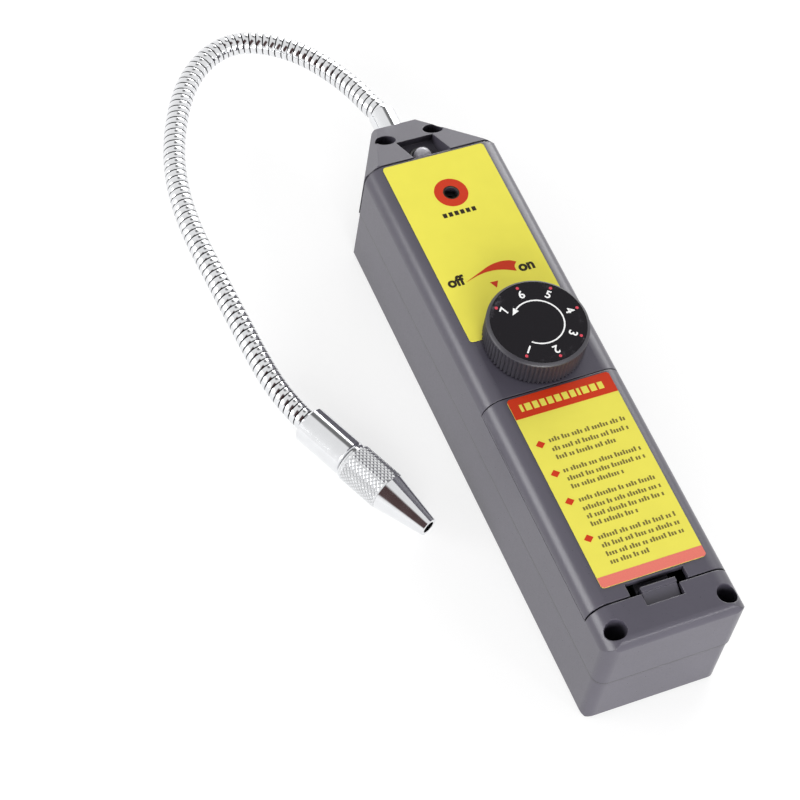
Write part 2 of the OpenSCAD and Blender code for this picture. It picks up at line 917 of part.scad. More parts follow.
// Points along a smooth curve through the given ones
function smooth(points, steps) = [
    for (i = [0:len(points) - 2])
        for (k = [0:steps - 1])
            let (
                a = points[max(i - 1, 0)],
                d = points[min(i + 2, len(points) - 1)]
            )
            curve(a, points[i], points[i + 1], d, k / steps),
    points[len(points) - 1],
];

// Distances along a line of points
function distances(line) = [
    for (i = 0, s = 0; i < len(line); s = s + norm(line[min(i + 1, len(line) - 1)] - line[i]), i = i + 1) s
];

// One ring of a tube, square to the line at point i
function ring_at(line, i, r, sides) =
    let (
        along = unit(line[min(i + 1, len(line) - 1)] - line[max(i - 1, 0)]),
        across = unit(cross(along, [0.1, 0.05, 1])),
        up = cross(across, along)
    )
    [for (j = [0:sides - 1]) line[i] + r * (across * cos(360 * j / sides) + up * sin(360 * j / sides))];

// Insulated wire along a hand-laid route
module wire(route, r, tint) {
    line = smooth(route, 4);
    color(tint) in_frame() tube_skin([for (i = [0:len(line) - 1]) ring_at(line, i, r, 8)]);
}

module battery_lead(side, tint) {
    wire([
        [side * cell_x, lead_y, lead_z], [side * cell_x, lead_y + 2.5, lead_z + 0.2],
        [side * lead_x, lead_y + 7, wire_end - 0.4], [side * lead_x, lead_y + 12, wire_end],
    ], wire_r, tint);
}

module battery_lead_red() {
    battery_lead(1, "#b3261e");
}

module battery_lead_black() {
    battery_lead(-1, "#1d1d20");
}

module probe_lead() {
    tail = case_end - wall - ferrule_flange_t - ferrule_tail;
    wire([
        [2, board_y1 - 10, wire_end], [2, board_y1 - 5, wire_end - 1],
        [0.5, tail - 5, pz + 1], [0, tail - 1, pz], [0, tail + 2, pz],
    ], wire_r, "#e8e4d8");
}

// Pan-head screw, head upwards, seated at the given height
module pan_screw(seat, head_r, head_h, shank_r, shank_len) {
    post(shank_r, seat - shank_len, seat + head_h / 2);
    translate([0, 0, seat]) rotate_extrude() polygon([
        [0, 0], [head_r, 0], [head_r, head_h * 0.6], [head_r - head_h * 0.4, head_h], [0, head_h],
    ]);
}

module case_screws() {
    color("#8d8d92") in_frame() at_screws()
        pan_screw(screw_seat, screw_head_r, screw_head_h, screw_shank_r, screw_shank_len);
}

module board_screws() {
    color("#9a9a9f") in_frame() at_board_screws() translate([0, 0, board_low]) mirror([0, 0, 1])
        pan_screw(0, board_head_r, board_head_h, board_shank_r, board_shank_len);
}

// Polished sleeve that the shells clamp by its flange
module probe_ferrule() {
    tail = case_end - wall - ferrule_flange_t - ferrule_tail;
    reach = case_end + ferrule_out - tail;
    color("#d5d6da") in_frame() translate([0, tail, pz]) rotate([-90, 0, 0]) difference() {
        union() {
            cylinder(r = ferrule_r, h = reach);
            post(ferrule_flange_r, ferrule_tail, ferrule_tail + ferrule_flange_t - fit);
        }
        post(goose_r + goose_fit, reach - ferrule_bore_depth, reach + 1);
        post(ferrule_lead_r, -1, reach);
    }
}

// Middle line of the gooseneck from the bottom of the ferrule's bore to the bottom of the socket's bore
goose_line = smooth(
    concat(
        [goose_mouth - [0, ferrule_bore_depth - goose_fit, 0], goose_mouth],
        [for (bend = goose_bends) goose_mouth + bend],
        [tip_start, tip_start + tip_way * (socket_bore_depth - goose_fit)]
    ),
    10
);
goose_way = distances(goose_line);
goose_len = goose_way[len(goose_way) - 1];
goose_x = [for (i = [0:len(goose_line) - 1]) [goose_way[i], goose_line[i][0]]];
goose_y = [for (i = [0:len(goose_line) - 1]) [goose_way[i], goose_line[i][1]]];
goose_z = [for (i = [0:len(goose_line) - 1]) [goose_way[i], goose_line[i][2]]];

// Point of the gooseneck's middle line at a distance along it
function goose_at(s) = [lookup(s, goose_x), lookup(s, goose_y), lookup(s, goose_z)];

// Point on the gooseneck's skin at a distance along it, an angle round it and a radius
function goose_skin(s, angle, r) =
    let (
        along = unit(goose_at(min(s + 0.4, goose_len)) - goose_at(max(s - 0.4, 0))),
        across = unit(cross(along, [0, 0, 1])),
        up = cross(across, along)
    )
    goose_at(s) + r * (across * cos(angle) + up * sin(angle));

// Stay-put arm wound from wire: a groove and a crown run round it as one helix
module gooseneck() {
    sides = 10;
    groove_r = goose_r - goose_groove;
    lanes = [[0, groove_r], [0.2, goose_r], [0.8, goose_r]];
    per_turn = len(lanes);
    turns = floor(goose_len / goose_pitch) - 1;
    rows = turns * per_turn;
    pitch = goose_len / (turns + 1);
    skin = [
        for (row = [0:rows])
            let (lane = lanes[row % per_turn])
            for (j = [0:sides - 1])
                goose_skin(pitch * (floor(row / per_turn) + lane[0] + j / sides), 360 * j / sides, lane[1])
    ];
    start = len(skin);
    finish = start + 1;
    last = sides - 1;
    color("#c4c6cc") in_frame() polyhedron(
        concat(skin, [goose_at(0), goose_at(goose_len)]),
        concat(
            [
                for (row = [0:rows - 1])
                    for (j = [0:sides - 2])
                        let (a = row * sides + j, b = a + sides)
                        each [[a, a + 1, b], [b, a + 1, b + 1]]
            ],
            [
                for (row = [0:rows - 1 - per_turn])
                    let (a = row * sides + last, b = a + sides, c = (row + per_turn) * sides, d = c + sides)
                    each [[a, c, b], [b, c, d]]
            ],
            [for (j = [0:sides - 2]) [start, j + 1, j]],
            [[start, per_turn * sides, last]],
            [for (row = [0:per_turn - 1]) [start, row * sides, (row + 1) * sides]],
            [for (j = [0:sides - 2]) [finish, rows * sides + j, rows * sides + j + 1]],
            [[finish, (rows - per_turn) * sides + last, rows * sides]],
            [
                for (row = [rows - per_turn:rows - 1])
                    [finish, (row + 1) * sides + last, row * sides + last]
            ]
        )
    );
}

// Puts the socket's rear face at the end of the gooseneck, pointing along the tip
module at_tip() {
    in_frame() translate(tip_start) rotate([0, 0, tip_heading]) rotate([0, 90, 0]) children();
}

// Smooth socket crimped on the gooseneck, with the spigot that the cover screws on to
module tip_socket() {
    end = socket_len + spigot_len;
    color("#d2d3d8") at_tip() difference() {
        union() {
            rotate_extrude() polygon([
                [0, 0], [socket_r - socket_chamfer, 0], [socket_r, socket_chamfer],
                [socket_r, socket_len - socket_chamfer], [socket_r - socket_chamfer, socket_len],
                [0, socket_len],
            ]);
            post(spigot_r, socket_len - 1, end);
        }
        post(goose_r + goose_fit, -1, socket_bore_depth);
        post(ferrule_lead_r, 0, end);
        post(sensor_stem_r + fit / 2, end - sensor_stem_len - fit, end + 1);
    }
}

// Diamond-knurled bar: every second point of a grid of points stands proud
module knurled_bar(r, z0, z1) {
    tall = (z1 - z0) / knurl_rows;
    step = 360 / knurl_count;
    count = knurl_count;
    grid = [
        for (i = [0:knurl_rows])
            for (j = [0:count - 1])
                let (bare = i == 0 || i == knurl_rows || (i + j) % 2 == 1, here = bare ? r - knurl_depth : r)
                [here * cos(j * step), here * sin(j * step), z0 + i * tall]
    ];
    foot = len(grid);
    polyhedron(
        concat(grid, [[0, 0, z0], [0, 0, z1]]),
        concat(
            [
                for (i = [0:knurl_rows - 1])
                    for (j = [0:count - 1])
                        let (
                            a = i * count + j,
                            b = i * count + (j + 1) % count,
                            c = a + count,
                            d = b + count
                        )
                        each (i + j) % 2 == 1 ? [[a, c, d], [a, d, b]] : [[a, c, b], [b, c, d]]
            ],
            [for (j = [0:count - 1]) [foot, j, (j + 1) % count]],
            [
                for (j = [0:count - 1])
                    [foot + 1, knurl_rows * count + (j + 1) % count, knurl_rows * count + j]
            ]
        )
    );
}

// Screw-on cover: knurled grip, then a cone that is open at its end
module tip_cover() {
    base = socket_len + cover_gap;
    top = socket_len + grip_len;
    end = top + cone_len;
    hollow = socket_len + spigot_len + sensor_h + sensor_room;
    core_r = grip_r - knurl_depth - fit;
    color("#c9cad0") at_tip() difference() {
        union() {
            rotate_extrude() polygon([
                [0, base], [core_r, base], [core_r, top],
                [grip_r - cone_step, top], [cone_end_r, end], [0, end],
            ]);
            knurled_bar(grip_r, base + knurl_margin, top);
        }
        rotate_extrude() polygon([
            [0, base - 1], [spigot_r + spigot_fit, base - 1], [spigot_r + spigot_fit, hollow],
            [cone_end_r - cover_wall, end - 1], [cone_end_r - cover_wall, end + 1], [0, end + 1],
        ]);
    }
}

module sensor_base() {
    seat = socket_len + spigot_len;
    color("#e9e3d4") at_tip() difference() {
        union() {
            post(sensor_r, seat, seat + sensor_h);
            post(sensor_stem_r, seat - sensor_stem_len, seat + 1);
        }
        post(needle_r + fit / 2, seat + sensor_h - needle_seat, seat + sensor_h + 1);
    }
}

module sensor_needle() {
    seat = socket_len + spigot_len + sensor_h;
    neck = seat + needle_h - needle_point;
    color("#b9bbc0") at_tip() {
        post(needle_r, seat + fit - needle_seat, neck);
        translate([0, 0, neck]) cylinder(r1 = needle_r, r2 = needle_tip_r, h = needle_point);
    }
}

module sensor_collar() {
    seat = socket_len + spigot_len + sensor_h;
    color("#b08d57") at_tip() difference() {
        post(collar_r, seat, seat + collar_h);
        post(collar_r - collar_t, seat - 1, seat + collar_h + 1);
    }
}

front_shell();
rear_shell();
battery_door();
face_label();
door_label();
sensitivity_knob();
dial_plate();
pot_shaft();
pot_body();
pot_washer();
pot_nut();
circuit_board();
transformer();
capacitor();
control_chip();
buzzer();
indicator_led();
led_holder();
cell(0);  // cell_1
cell(1);  // cell_2
cell(2);  // cell_3
cell(3);  // cell_4
contact_spring(0);  // contact_spring_1
contact_spring(1);  // contact_spring_2
contact_spring(2);  // contact_spring_3
contact_spring(3);  // contact_spring_4
bottom_plate_left();
bottom_plate_right();
top_bridge_plate();
top_terminal_left();
top_terminal_right();
battery_lead_red();
battery_lead_black();
probe_lead();
case_screws();
board_screws();
probe_ferrule();
gooseneck();
tip_socket();
tip_cover();
sensor_base();
sensor_needle();
sensor_collar();
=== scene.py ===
"""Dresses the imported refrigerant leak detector: finishes, prints, knob, wound gooseneck, lamp and screws."""

import json
import math

import bpy
from bpy.props import FloatProperty, FloatVectorProperty, IntProperty, PointerProperty
from mathutils import Matrix, Vector


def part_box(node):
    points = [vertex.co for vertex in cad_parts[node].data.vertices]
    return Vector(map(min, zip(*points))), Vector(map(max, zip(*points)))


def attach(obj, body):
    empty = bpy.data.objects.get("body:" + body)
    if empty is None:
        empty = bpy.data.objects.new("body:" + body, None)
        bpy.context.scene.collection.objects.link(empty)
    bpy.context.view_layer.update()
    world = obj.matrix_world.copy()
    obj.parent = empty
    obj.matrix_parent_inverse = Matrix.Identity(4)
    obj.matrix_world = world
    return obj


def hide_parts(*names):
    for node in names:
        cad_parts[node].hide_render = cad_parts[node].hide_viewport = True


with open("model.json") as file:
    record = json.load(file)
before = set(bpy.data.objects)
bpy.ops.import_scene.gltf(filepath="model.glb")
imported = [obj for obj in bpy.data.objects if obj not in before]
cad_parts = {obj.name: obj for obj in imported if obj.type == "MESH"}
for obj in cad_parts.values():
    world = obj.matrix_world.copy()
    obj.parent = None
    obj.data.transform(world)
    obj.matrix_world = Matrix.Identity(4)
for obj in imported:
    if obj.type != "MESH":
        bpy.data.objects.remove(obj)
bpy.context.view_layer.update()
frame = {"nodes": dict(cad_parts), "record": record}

bl_info = {
    "name": "Refrigerant leak detector",
    "version": (1, 0, 0),
    "blender": (4, 5, 0),
    "location": "3D View > Sidebar > Detector",
    "description": "Builds the finishes, prints and metal arm of a hand-held refrigerant leak detector",
    "category": "Object",
}

MM = 0.001
SLOTS = {part["node"]: part["material_slot"] for part in frame["record"]["subparts"]}

# Bends of the gooseneck from the ferrule's mouth to the socket, in mm, as in the part's source
BENDS = (
    (-1.5, 4.8, -0.5), (-3.8, 12.8, -1), (-7.4, 21.1, -1.5), (-12.4, 29.1, -2), (-18, 34.9, -2.5),
    (-24, 38.8, -3), (-29.9, 40.5, -3.5), (-36, 39.8, -4), (-41.9, 36.8, -4.5), (-47.1, 32.3, -5),
    (-51.5, 26.7, -5.5), (-55.1, 20.6, -6), (-58.8, 12.7, -6.5), (-61.5, 4.6, -7), (-63.1, -3, -7.4),
    (-64, -12.1, -8), (-64, -22.1, -8.6), (-63.3, -32, -9.3), (-62.6, -42, -10), (-61.8, -51.9, -10.8),
    (-61, -61.1, -11.6), (-59.7, -70.2, -12.4), (-57.7, -77.7, -13),
)
# Where the socket takes the arm in, in mm from the ferrule's mouth, and the way that it points there
TIP_START = (-55.3, -84.1, -13.3)
TIP_HEADING = math.radians(-66)

# Red sweep between the two words of the switch, and the index mark below it, in mm
SWEEP = (
    (-9.0, 35.0), (-4.4, 36.85, "round"), (0.6, 38.5, "round"), (5.2, 38.25, "round"), (6.95, 37.25),
    (5.9, 36.0, "round"), (5.8, 34.4), (2.0, 36.0, "round"), (-1.8, 36.5, "round"), (-4.6, 36.2, "round"),
)
INDEX_MARK = ((-2.75, 33.05), (-0.4, 32.95), (-1.65, 30.85))

# Widths of the bars that stand for the letters of the door's heading, in mm
HEADING_BARS = (0.8, 1.7, 1.5, 1.5, 1.6, 1.6, 1.6, 1.5, 0.8, 1.8, 1.7, 1.5)
# Heights of the four bullets on the door, in mm
BULLETS = (-18.5, -27.8, -36.6, -48.1)
# Left end, right end and height of each row of small print on the door, in mm
TEXT_ROWS = (
    (-8.6, 13.5, -18.1), (-8.9, 13.5, -20.9), (-8.9, 8.0, -23.5),
    (-8.9, 13.5, -27.7), (-8.9, 13.4, -30.3), (-8.9, 6.1, -32.8),
    (-8.8, 13.3, -37.0), (-8.9, 13.4, -39.7), (-8.9, 13.4, -42.2), (-8.9, 4.4, -44.6),
    (-8.8, 13.4, -48.7), (-8.9, 13.3, -51.2), (-8.9, 13.4, -53.8), (-8.9, 2.1, -56.2),
)
# Strokes in each word of the small print, then in mm their heights, width, step and the space between words
WORD_LENGTHS = (4, 3, 4, 2, 6, 3, 5, 8, 2, 4, 7, 3)
STROKE_HEIGHTS = (1.0, 1.0, 1.4, 1.0, 1.0, 1.4, 1.0)
STROKE_WIDTH, STROKE_STEP, WORD_SPACE = 0.5, 0.8, 0.5

# Half section of the knob in mm, as radius and height: bore, hollow, straight skirt, rim and dial seat
KNOB_SECTION = (
    (0, 6.4), (3.03, 6.4), (3.03, 3.2), (5, 3.2), (5, 6), (11.4, 6), (11.4, 0),
    (13.75, 0), (13.85, 0.1), (13.9, 0.5), (13.9, 2.5), (13.9, 5), (13.9, 7), (13.9, 7.6),
    (13.86, 7.85), (13.74, 8.03), (13.5, 8.22), (13.1, 8.52), (12.97, 8.6), (12.95, 8), (0, 8),
)
# Inner edge of the knob's skirt, and the heights between which its flutes run out, in mm
KNOB_SKIRT, FLUTE_FADE, FLUTE_END = 13.7, 7, 7.6

# Radius and height of the cup in the lamp, in mm
LAMP_CUP = ((0, 0), (0.6, 0), (0.6, 2.4), (1.1, 3.1), (0.9, 3.2), (0.35, 2.7), (0, 2.7))

# Places of the case screws across and along the case, in mm
SCREW_SPOTS = ((-15.7, -73.9), (15.7, -73.9), (-7.3, 93), (7.3, 93))

# Nodes whose finish comes from a step of their own
OUTER_NODES = (
    "front_shell", "rear_shell", "battery_door", "face_label", "door_label", "dial_plate", "indicator_led",
    "led_holder", "probe_ferrule", "tip_socket", "tip_cover",
)

# Name, place and diameter in m, and power in W of each lamp on the stage
LAMPS = (
    ("soft_front", (-0.22, -1.05, 0.35), 0.7, 12),
    ("soft_back", (0.82, 0.96, 0.36), 1.1, 13),
    ("soft_left", (-0.93, 0.3, 0.3), 0.6, 4.5),
    ("soft_end", (0.42, -0.84, 0.74), 0.2, 1),
)

# Sockets of a Mix node that blends two colours
MIX_FACTOR, MIX_A, MIX_B, MIX_RESULT = 0, 6, 7, 2


def linear(code):
    """Turns an sRGB hex colour into linear red, green and blue."""
    parts = [int(code[i:i + 2], 16) / 255 for i in (1, 3, 5)]
    return [p / 12.92 if p <= 0.04045 else ((p + 0.055) / 1.055) ** 2.4 for p in parts]


def colour(label, note, code):
    """A colour that the user can change, given as sRGB hex."""
    return FloatVectorProperty(name=label, description=note, subtype="COLOR", size=3, min=0, max=1,
                               default=linear(code))


def length(label, note, millimetres, low=0.0, high=50.0):
    """A length that the user can change, given in millimetres."""
    return FloatProperty(name=label, description=note, subtype="DISTANCE", unit="LENGTH", precision=5,
                         default=millimetres * MM, min=low * MM, max=high * MM)


def count(label, note, number, low, high):
    """A number of copies that the user can change."""
    return IntProperty(name=label, description=note, default=number, min=low, max=high)


class DetectorSizes(bpy.types.PropertyGroup):
    """Sizes of the dressed pieces"""

    edge_softness: length("Edge softness", "Rounding that moulding leaves on a sharp edge", 0.35, 0.02, 1)
    recess_reach: length("Recess reach", "How near walls must be to darken a seam or well", 6, 0.5, 12)
    seam_width: length("Seam width", "Width of the line of shade where the two shells meet", 0.55, 0.1, 1)
    print_thickness: length("Print thickness", "How far ink stands on a label or the dial", 0.03, 0.01, 0.2)
    goose_diameter: length("Gooseneck diameter", "Outside diameter of the wound arm", 6.4, 5, 6.6)
    goose_pitch: length("Gooseneck pitch", "Length of one turn of the winding", 2.05, 1, 4)
    goose_groove: length("Gooseneck groove", "Depth of the groove between two turns", 0.55, 0.1, 1)
    goose_sides: count("Gooseneck sides", "Faces round the arm", 32, 12, 48)
    numeral_size: length("Numeral size", "Letter size of the dial's numbers", 3.4, 1, 6)
    switch_word_size: length("Switch word size", "Letter size of the words beside the dial", 4.4, 1, 8)
    arc_radius: length("Arc radius", "Radius of the dial's arrow", 6.9, 3, 9)
    arc_width: length("Arc width", "Line width of the dial's arrow", 0.4, 0.2, 1.5)
    dot_radius: length("Dot radius", "Radius of a scale dot", 0.44, 0.2, 1.2)
    knob_flutes: count("Knob flutes", "Grooves round the knob's grip", 72, 40, 96)
    flute_depth: length("Flute depth", "Depth of a groove in the knob's grip", 0.6, 0.1, 0.8)


class DetectorColours(bpy.types.PropertyGroup):
    """Colours of the dressed pieces"""

    case_grey: colour("Case grey", "Moulded plastic of both shells and the door", "#4A4752")
    knob_grey: colour("Knob grey", "Moulded plastic of the knob", "#2E2C33")
    dial_black: colour("Dial black", "Glossy plate in the knob", "#1B191D")
    label_yellow: colour("Label yellow", "Film on the front panel", "#E7DE53")
    door_yellow: colour("Door label yellow", "Film on the battery door", "#E1D855")
    ink_red: colour("Red ink", "Ring, arrow, heading band and bullets", "#C43312")
    ink_coral: colour("Coral ink", "Band along the foot of the door label", "#DB7467")
    ink_brown: colour("Dark ink", "Words beside the dial", "#2C2312")
    ink_olive: colour("Fine ink", "Small print on the door", "#756A34")
    ink_white: colour("White ink", "Numbers and arrow on the dial", "#F2F2F2")
    ink_pink: colour("Dot ink", "Scale dots on the dial", "#CF4656")
    chrome: colour("Chrome", "Plated arm, ferrule and tip", "#EDEEF0")
    lens_clear: colour("Lens", "Cast resin of the lamp", "#EFEDF5")


def add(tree, kind, values=None, links=None, **settings):
    """Adds a node with its settings, socket values and incoming links."""
    node = tree.nodes.new(kind)
    for key, value in settings.items():
        setattr(node, key, value)
    for key, value in (values or {}).items():
        node.inputs[key].default_value = value
    for key, source in (links or {}).items():
        tree.links.new(source, node.inputs[key])
    return node


def start_material(name):
    """A new material with an empty node tree."""
    material = bpy.data.materials.new(name)
    material.use_nodes = True
    material.node_tree.nodes.clear()
    return material, material.node_tree


def shade(rgb, amount=1.0):
    """A linear colour made darker or lighter, with its alpha."""
    return (*(min(1.0, c * amount) for c in rgb), 1.0)


def moulded_plastic(name, rgb, rough, grain_mm=0.45, edge=0.0, reach=0.0, seam=None):
    """Moulded plastic with the fine grain of a spark-eroded mould."""
    # Grain breaks the shine into a soft satin, and faint clouds keep broad faces from looking painted
    material, tree = start_material(name)
    place = add(tree, "ShaderNodeTexCoord").outputs["Object"]
    # Real mould grain is about 0.1 mm and is drawn coarser so that it shows
    fine = add(tree, "ShaderNodeTexNoise", {"Scale": 1 / (grain_mm * MM), "Detail": 3}, {"Vector": place})
    cloud = add(tree, "ShaderNodeTexNoise", {"Scale": 1 / (14 * MM), "Detail": 4, "Roughness": 0.6},
                {"Vector": place})
    body = add(tree, "ShaderNodeMix", {MIX_A: shade(rgb, 0.88), MIX_B: shade(rgb, 1.12)},
               {MIX_FACTOR: cloud.outputs["Fac"]}, data_type="RGBA")
    if seam:
        # A thin line of painted shade marks where the two shells meet, standing in for the shadow under the
        # front shell's lip
        axes = add(tree, "ShaderNodeSeparateXYZ", links={"Vector": place})
        line = add(tree, "ShaderNodeMath", {1: seam[0], 2: seam[1]}, {0: axes.outputs["Z"]},
                   operation="COMPARE")
        body = add(tree, "ShaderNodeMix", {MIX_B: shade(rgb, 0.4)},
                   {MIX_FACTOR: line.outputs["Value"], MIX_A: body.outputs[MIX_RESULT]}, data_type="RGBA")
    ground = {}
    if reach:
        # Painted shade darkens seams, wells and the surface under ledges, and lowers their sheen
        near = add(tree, "ShaderNodeAmbientOcclusion", {"Distance": reach}, samples=8)
        clear = add(tree, "ShaderNodeMapRange", {"From Min": 0.05, "From Max": 0.45},
                    {"Value": near.outputs["AO"]})
        body = add(tree, "ShaderNodeMix", {MIX_A: shade(rgb, 0.04)},
                   {MIX_FACTOR: clear.outputs["Result"], MIX_B: body.outputs[MIX_RESULT]}, data_type="RGBA")
        ground["Specular IOR Level"] = add(tree, "ShaderNodeMapRange", {"To Min": 0.04, "To Max": 0.5},
                                           {"Value": clear.outputs["Result"]}).outputs["Result"]
    relief = add(tree, "ShaderNodeBump", {"Strength": 0.2, "Distance": 0.03 * MM},
                 {"Height": fine.outputs["Fac"]})
    if edge:
        rounded = add(tree, "ShaderNodeBevel", {"Radius": edge}, samples=6)
        tree.links.new(rounded.outputs["Normal"], relief.inputs["Normal"])
    polish = add(tree, "ShaderNodeMapRange", {"To Min": rough - 0.07, "To Max": rough + 0.09},
                 {"Value": fine.outputs["Fac"]})
    shader = add(tree, "ShaderNodeBsdfPrincipled", {"IOR": 1.56},
                 {"Base Color": body.outputs[MIX_RESULT], "Roughness": polish.outputs["Result"],
                  "Normal": relief.outputs["Normal"], **ground})
    add(tree, "ShaderNodeOutputMaterial", links={"Surface": shader.outputs["BSDF"]})
    return material


def label_film(name, rgb):
    """Printed vinyl film, glued down."""
    # A soft gloss that wavers a little where the glue lies unevenly, over an even flat colour
    material, tree = start_material(name)
    place = add(tree, "ShaderNodeTexCoord").outputs["Object"]
    wave = add(tree, "ShaderNodeTexNoise", {"Scale": 1 / (7 * MM)}, {"Vector": place})
    dust = add(tree, "ShaderNodeTexNoise", {"Scale": 1 / (0.6 * MM), "Detail": 3}, {"Vector": place})
    body = add(tree, "ShaderNodeMix", {MIX_A: shade(rgb, 0.96), MIX_B: shade(rgb, 1.04)},
               {MIX_FACTOR: wave.outputs["Fac"]}, data_type="RGBA")
    polish = add(tree, "ShaderNodeMapRange", {"To Min": 0.16, "To Max": 0.26}, {"Value": dust.outputs["Fac"]})
    relief = add(tree, "ShaderNodeBump", {"Strength": 0.12, "Distance": 0.08 * MM},
                 {"Height": wave.outputs["Fac"]})
    shader = add(tree, "ShaderNodeBsdfPrincipled", {"IOR": 1.5},
                 {"Base Color": body.outputs[MIX_RESULT], "Roughness": polish.outputs["Result"],
                  "Normal": relief.outputs["Normal"]})
    add(tree, "ShaderNodeOutputMaterial", links={"Surface": shader.outputs["BSDF"]})
    return material


def print_ink(name, rgb):
    """Screen ink on a label or the dial."""
    # A flat glossy film whose tiny flecks take away the look of a perfect fill
    material, tree = start_material(name)
    place = add(tree, "ShaderNodeTexCoord").outputs["Object"]
    fleck = add(tree, "ShaderNodeTexNoise", {"Scale": 1 / (0.35 * MM)}, {"Vector": place})
    body = add(tree, "ShaderNodeMix", {MIX_A: shade(rgb, 0.92), MIX_B: shade(rgb, 1.08)},
               {MIX_FACTOR: fleck.outputs["Fac"]}, data_type="RGBA")
    polish = add(tree, "ShaderNodeMapRange", {"To Min": 0.18, "To Max": 0.28}, {"Value": fleck.outputs["Fac"]})
    shader = add(tree, "ShaderNodeBsdfPrincipled", {"IOR": 1.48},
                 {"Base Color": body.outputs[MIX_RESULT], "Roughness": polish.outputs["Result"]})
    add(tree, "ShaderNodeOutputMaterial", links={"Surface": shader.outputs["BSDF"]})
    return material


def dial_gloss(name, rgb):
    """Glossy black plate of the dial."""
    # Deep black and smooth, with a few hazy grey rubs along the edge where fingertips touch it
    material, tree = start_material(name)
    place = add(tree, "ShaderNodeTexCoord").outputs["Object"]
    rub = add(tree, "ShaderNodeTexNoise", {"Scale": 1 / (4.5 * MM), "Detail": 5, "Roughness": 0.7},
              {"Vector": place})
    spot = add(tree, "ShaderNodeMapRange", {"From Min": 0.56, "From Max": 0.74}, {"Value": rub.outputs["Fac"]})
    out = add(tree, "ShaderNodeVectorMath", {1: dial_middle()}, {0: place}, operation="DISTANCE")
    worn = add(tree, "ShaderNodeMapRange", {"From Min": 10.6 * MM, "From Max": 12.4 * MM},
               {"Value": out.outputs["Value"], "To Max": spot.outputs["Result"]})
    body = add(tree, "ShaderNodeMix", {MIX_A: shade(rgb), MIX_B: shade(rgb, 4)},
               {MIX_FACTOR: worn.outputs["Result"]}, data_type="RGBA")
    polish = add(tree, "ShaderNodeMapRange", {"To Min": 0.16, "To Max": 0.5}, {"Value": worn.outputs["Result"]})
    shader = add(tree, "ShaderNodeBsdfPrincipled", {"IOR": 1.46},
                 {"Base Color": body.outputs[MIX_RESULT], "Roughness": polish.outputs["Result"]})
    add(tree, "ShaderNodeOutputMaterial", links={"Surface": shader.outputs["BSDF"]})
    return material


def bright_metal(name, rgb, rough, haze_mm, reach=0.0):
    """Plated or turned metal."""
    # A clean mirror whose polish wavers a little, and painted shade that draws dark lines in its grooves
    material, tree = start_material(name)
    place = add(tree, "ShaderNodeTexCoord").outputs["Object"]
    haze = add(tree, "ShaderNodeTexNoise", {"Scale": 1 / (haze_mm * MM), "Detail": 4, "Roughness": 0.6},
               {"Vector": place})
    body = add(tree, "ShaderNodeMix", {MIX_A: shade(rgb, 0.94), MIX_B: shade(rgb, 1.04)},
               {MIX_FACTOR: haze.outputs["Fac"]}, data_type="RGBA")
    if reach:
        # Painted shade: the colour darkens where walls stand near
        near = add(tree, "ShaderNodeAmbientOcclusion", {"Distance": reach}, samples=8)
        clear = add(tree, "ShaderNodeMapRange", {"From Min": 0.55, "From Max": 0.93},
                    {"Value": near.outputs["AO"]})
        body = add(tree, "ShaderNodeMix", {MIX_A: shade(rgb, 0.05)},
                   {MIX_FACTOR: clear.outputs["Result"], MIX_B: body.outputs[MIX_RESULT]}, data_type="RGBA")
    polish = add(tree, "ShaderNodeMapRange", {"To Min": max(0.02, rough - 0.05), "To Max": rough + 0.06},
                 {"Value": haze.outputs["Fac"]})
    shader = add(tree, "ShaderNodeBsdfPrincipled", {"Metallic": 1},
                 {"Base Color": body.outputs[MIX_RESULT], "Roughness": polish.outputs["Result"]})
    add(tree, "ShaderNodeOutputMaterial", links={"Surface": shader.outputs["BSDF"]})
    return material


def clear_resin(name, rgb):
    """Cast resin of the lamp's lens."""
    # Milky clear, so that the lamp shows pale with only a hint of what lies under it
    material, tree = start_material(name)
    place = add(tree, "ShaderNodeTexCoord").outputs["Object"]
    haze = add(tree, "ShaderNodeTexNoise", {"Scale": 1 / (1.2 * MM)}, {"Vector": place})
    body = add(tree, "ShaderNodeMix", {MIX_A: shade(rgb, 0.9), MIX_B: shade(rgb, 1.1)},
               {MIX_FACTOR: haze.outputs["Fac"]}, data_type="RGBA")
    polish = add(tree, "ShaderNodeMapRange", {"To Min": 0.1, "To Max": 0.24}, {"Value": haze.outputs["Fac"]})
    shader = add(tree, "ShaderNodeBsdfPrincipled", {"IOR": 1.5, "Transmission Weight": 0.45},
                 {"Base Color": body.outputs[MIX_RESULT], "Roughness": polish.outputs["Result"]})
    add(tree, "ShaderNodeOutputMaterial", links={"Surface": shader.outputs["BSDF"]})
    return material


def solder_mask(name):
    """Glass laminate of the circuit board under green solder mask."""
    # Glossy green with paler copper runs that show through and stand a little proud
    material, tree = start_material(name)
    place = add(tree, "ShaderNodeTexCoord").outputs["Object"]
    runs = add(tree, "ShaderNodeTexBrick",
               {"Scale": 1 / (3.2 * MM), "Mortar Size": 0.06, "Color1": shade(linear("#1F5A38")),
                "Color2": shade(linear("#235F3D")), "Mortar": shade(linear("#4E8A55"))}, {"Vector": place})
    relief = add(tree, "ShaderNodeBump", {"Strength": 0.3, "Distance": 0.04 * MM},
                 {"Height": runs.outputs["Fac"]})
    shader = add(tree, "ShaderNodeBsdfPrincipled", {"IOR": 1.52, "Roughness": 0.3},
                 {"Base Color": runs.outputs["Color"], "Normal": relief.outputs["Normal"]})
    add(tree, "ShaderNodeOutputMaterial", links={"Surface": shader.outputs["BSDF"]})
    return material


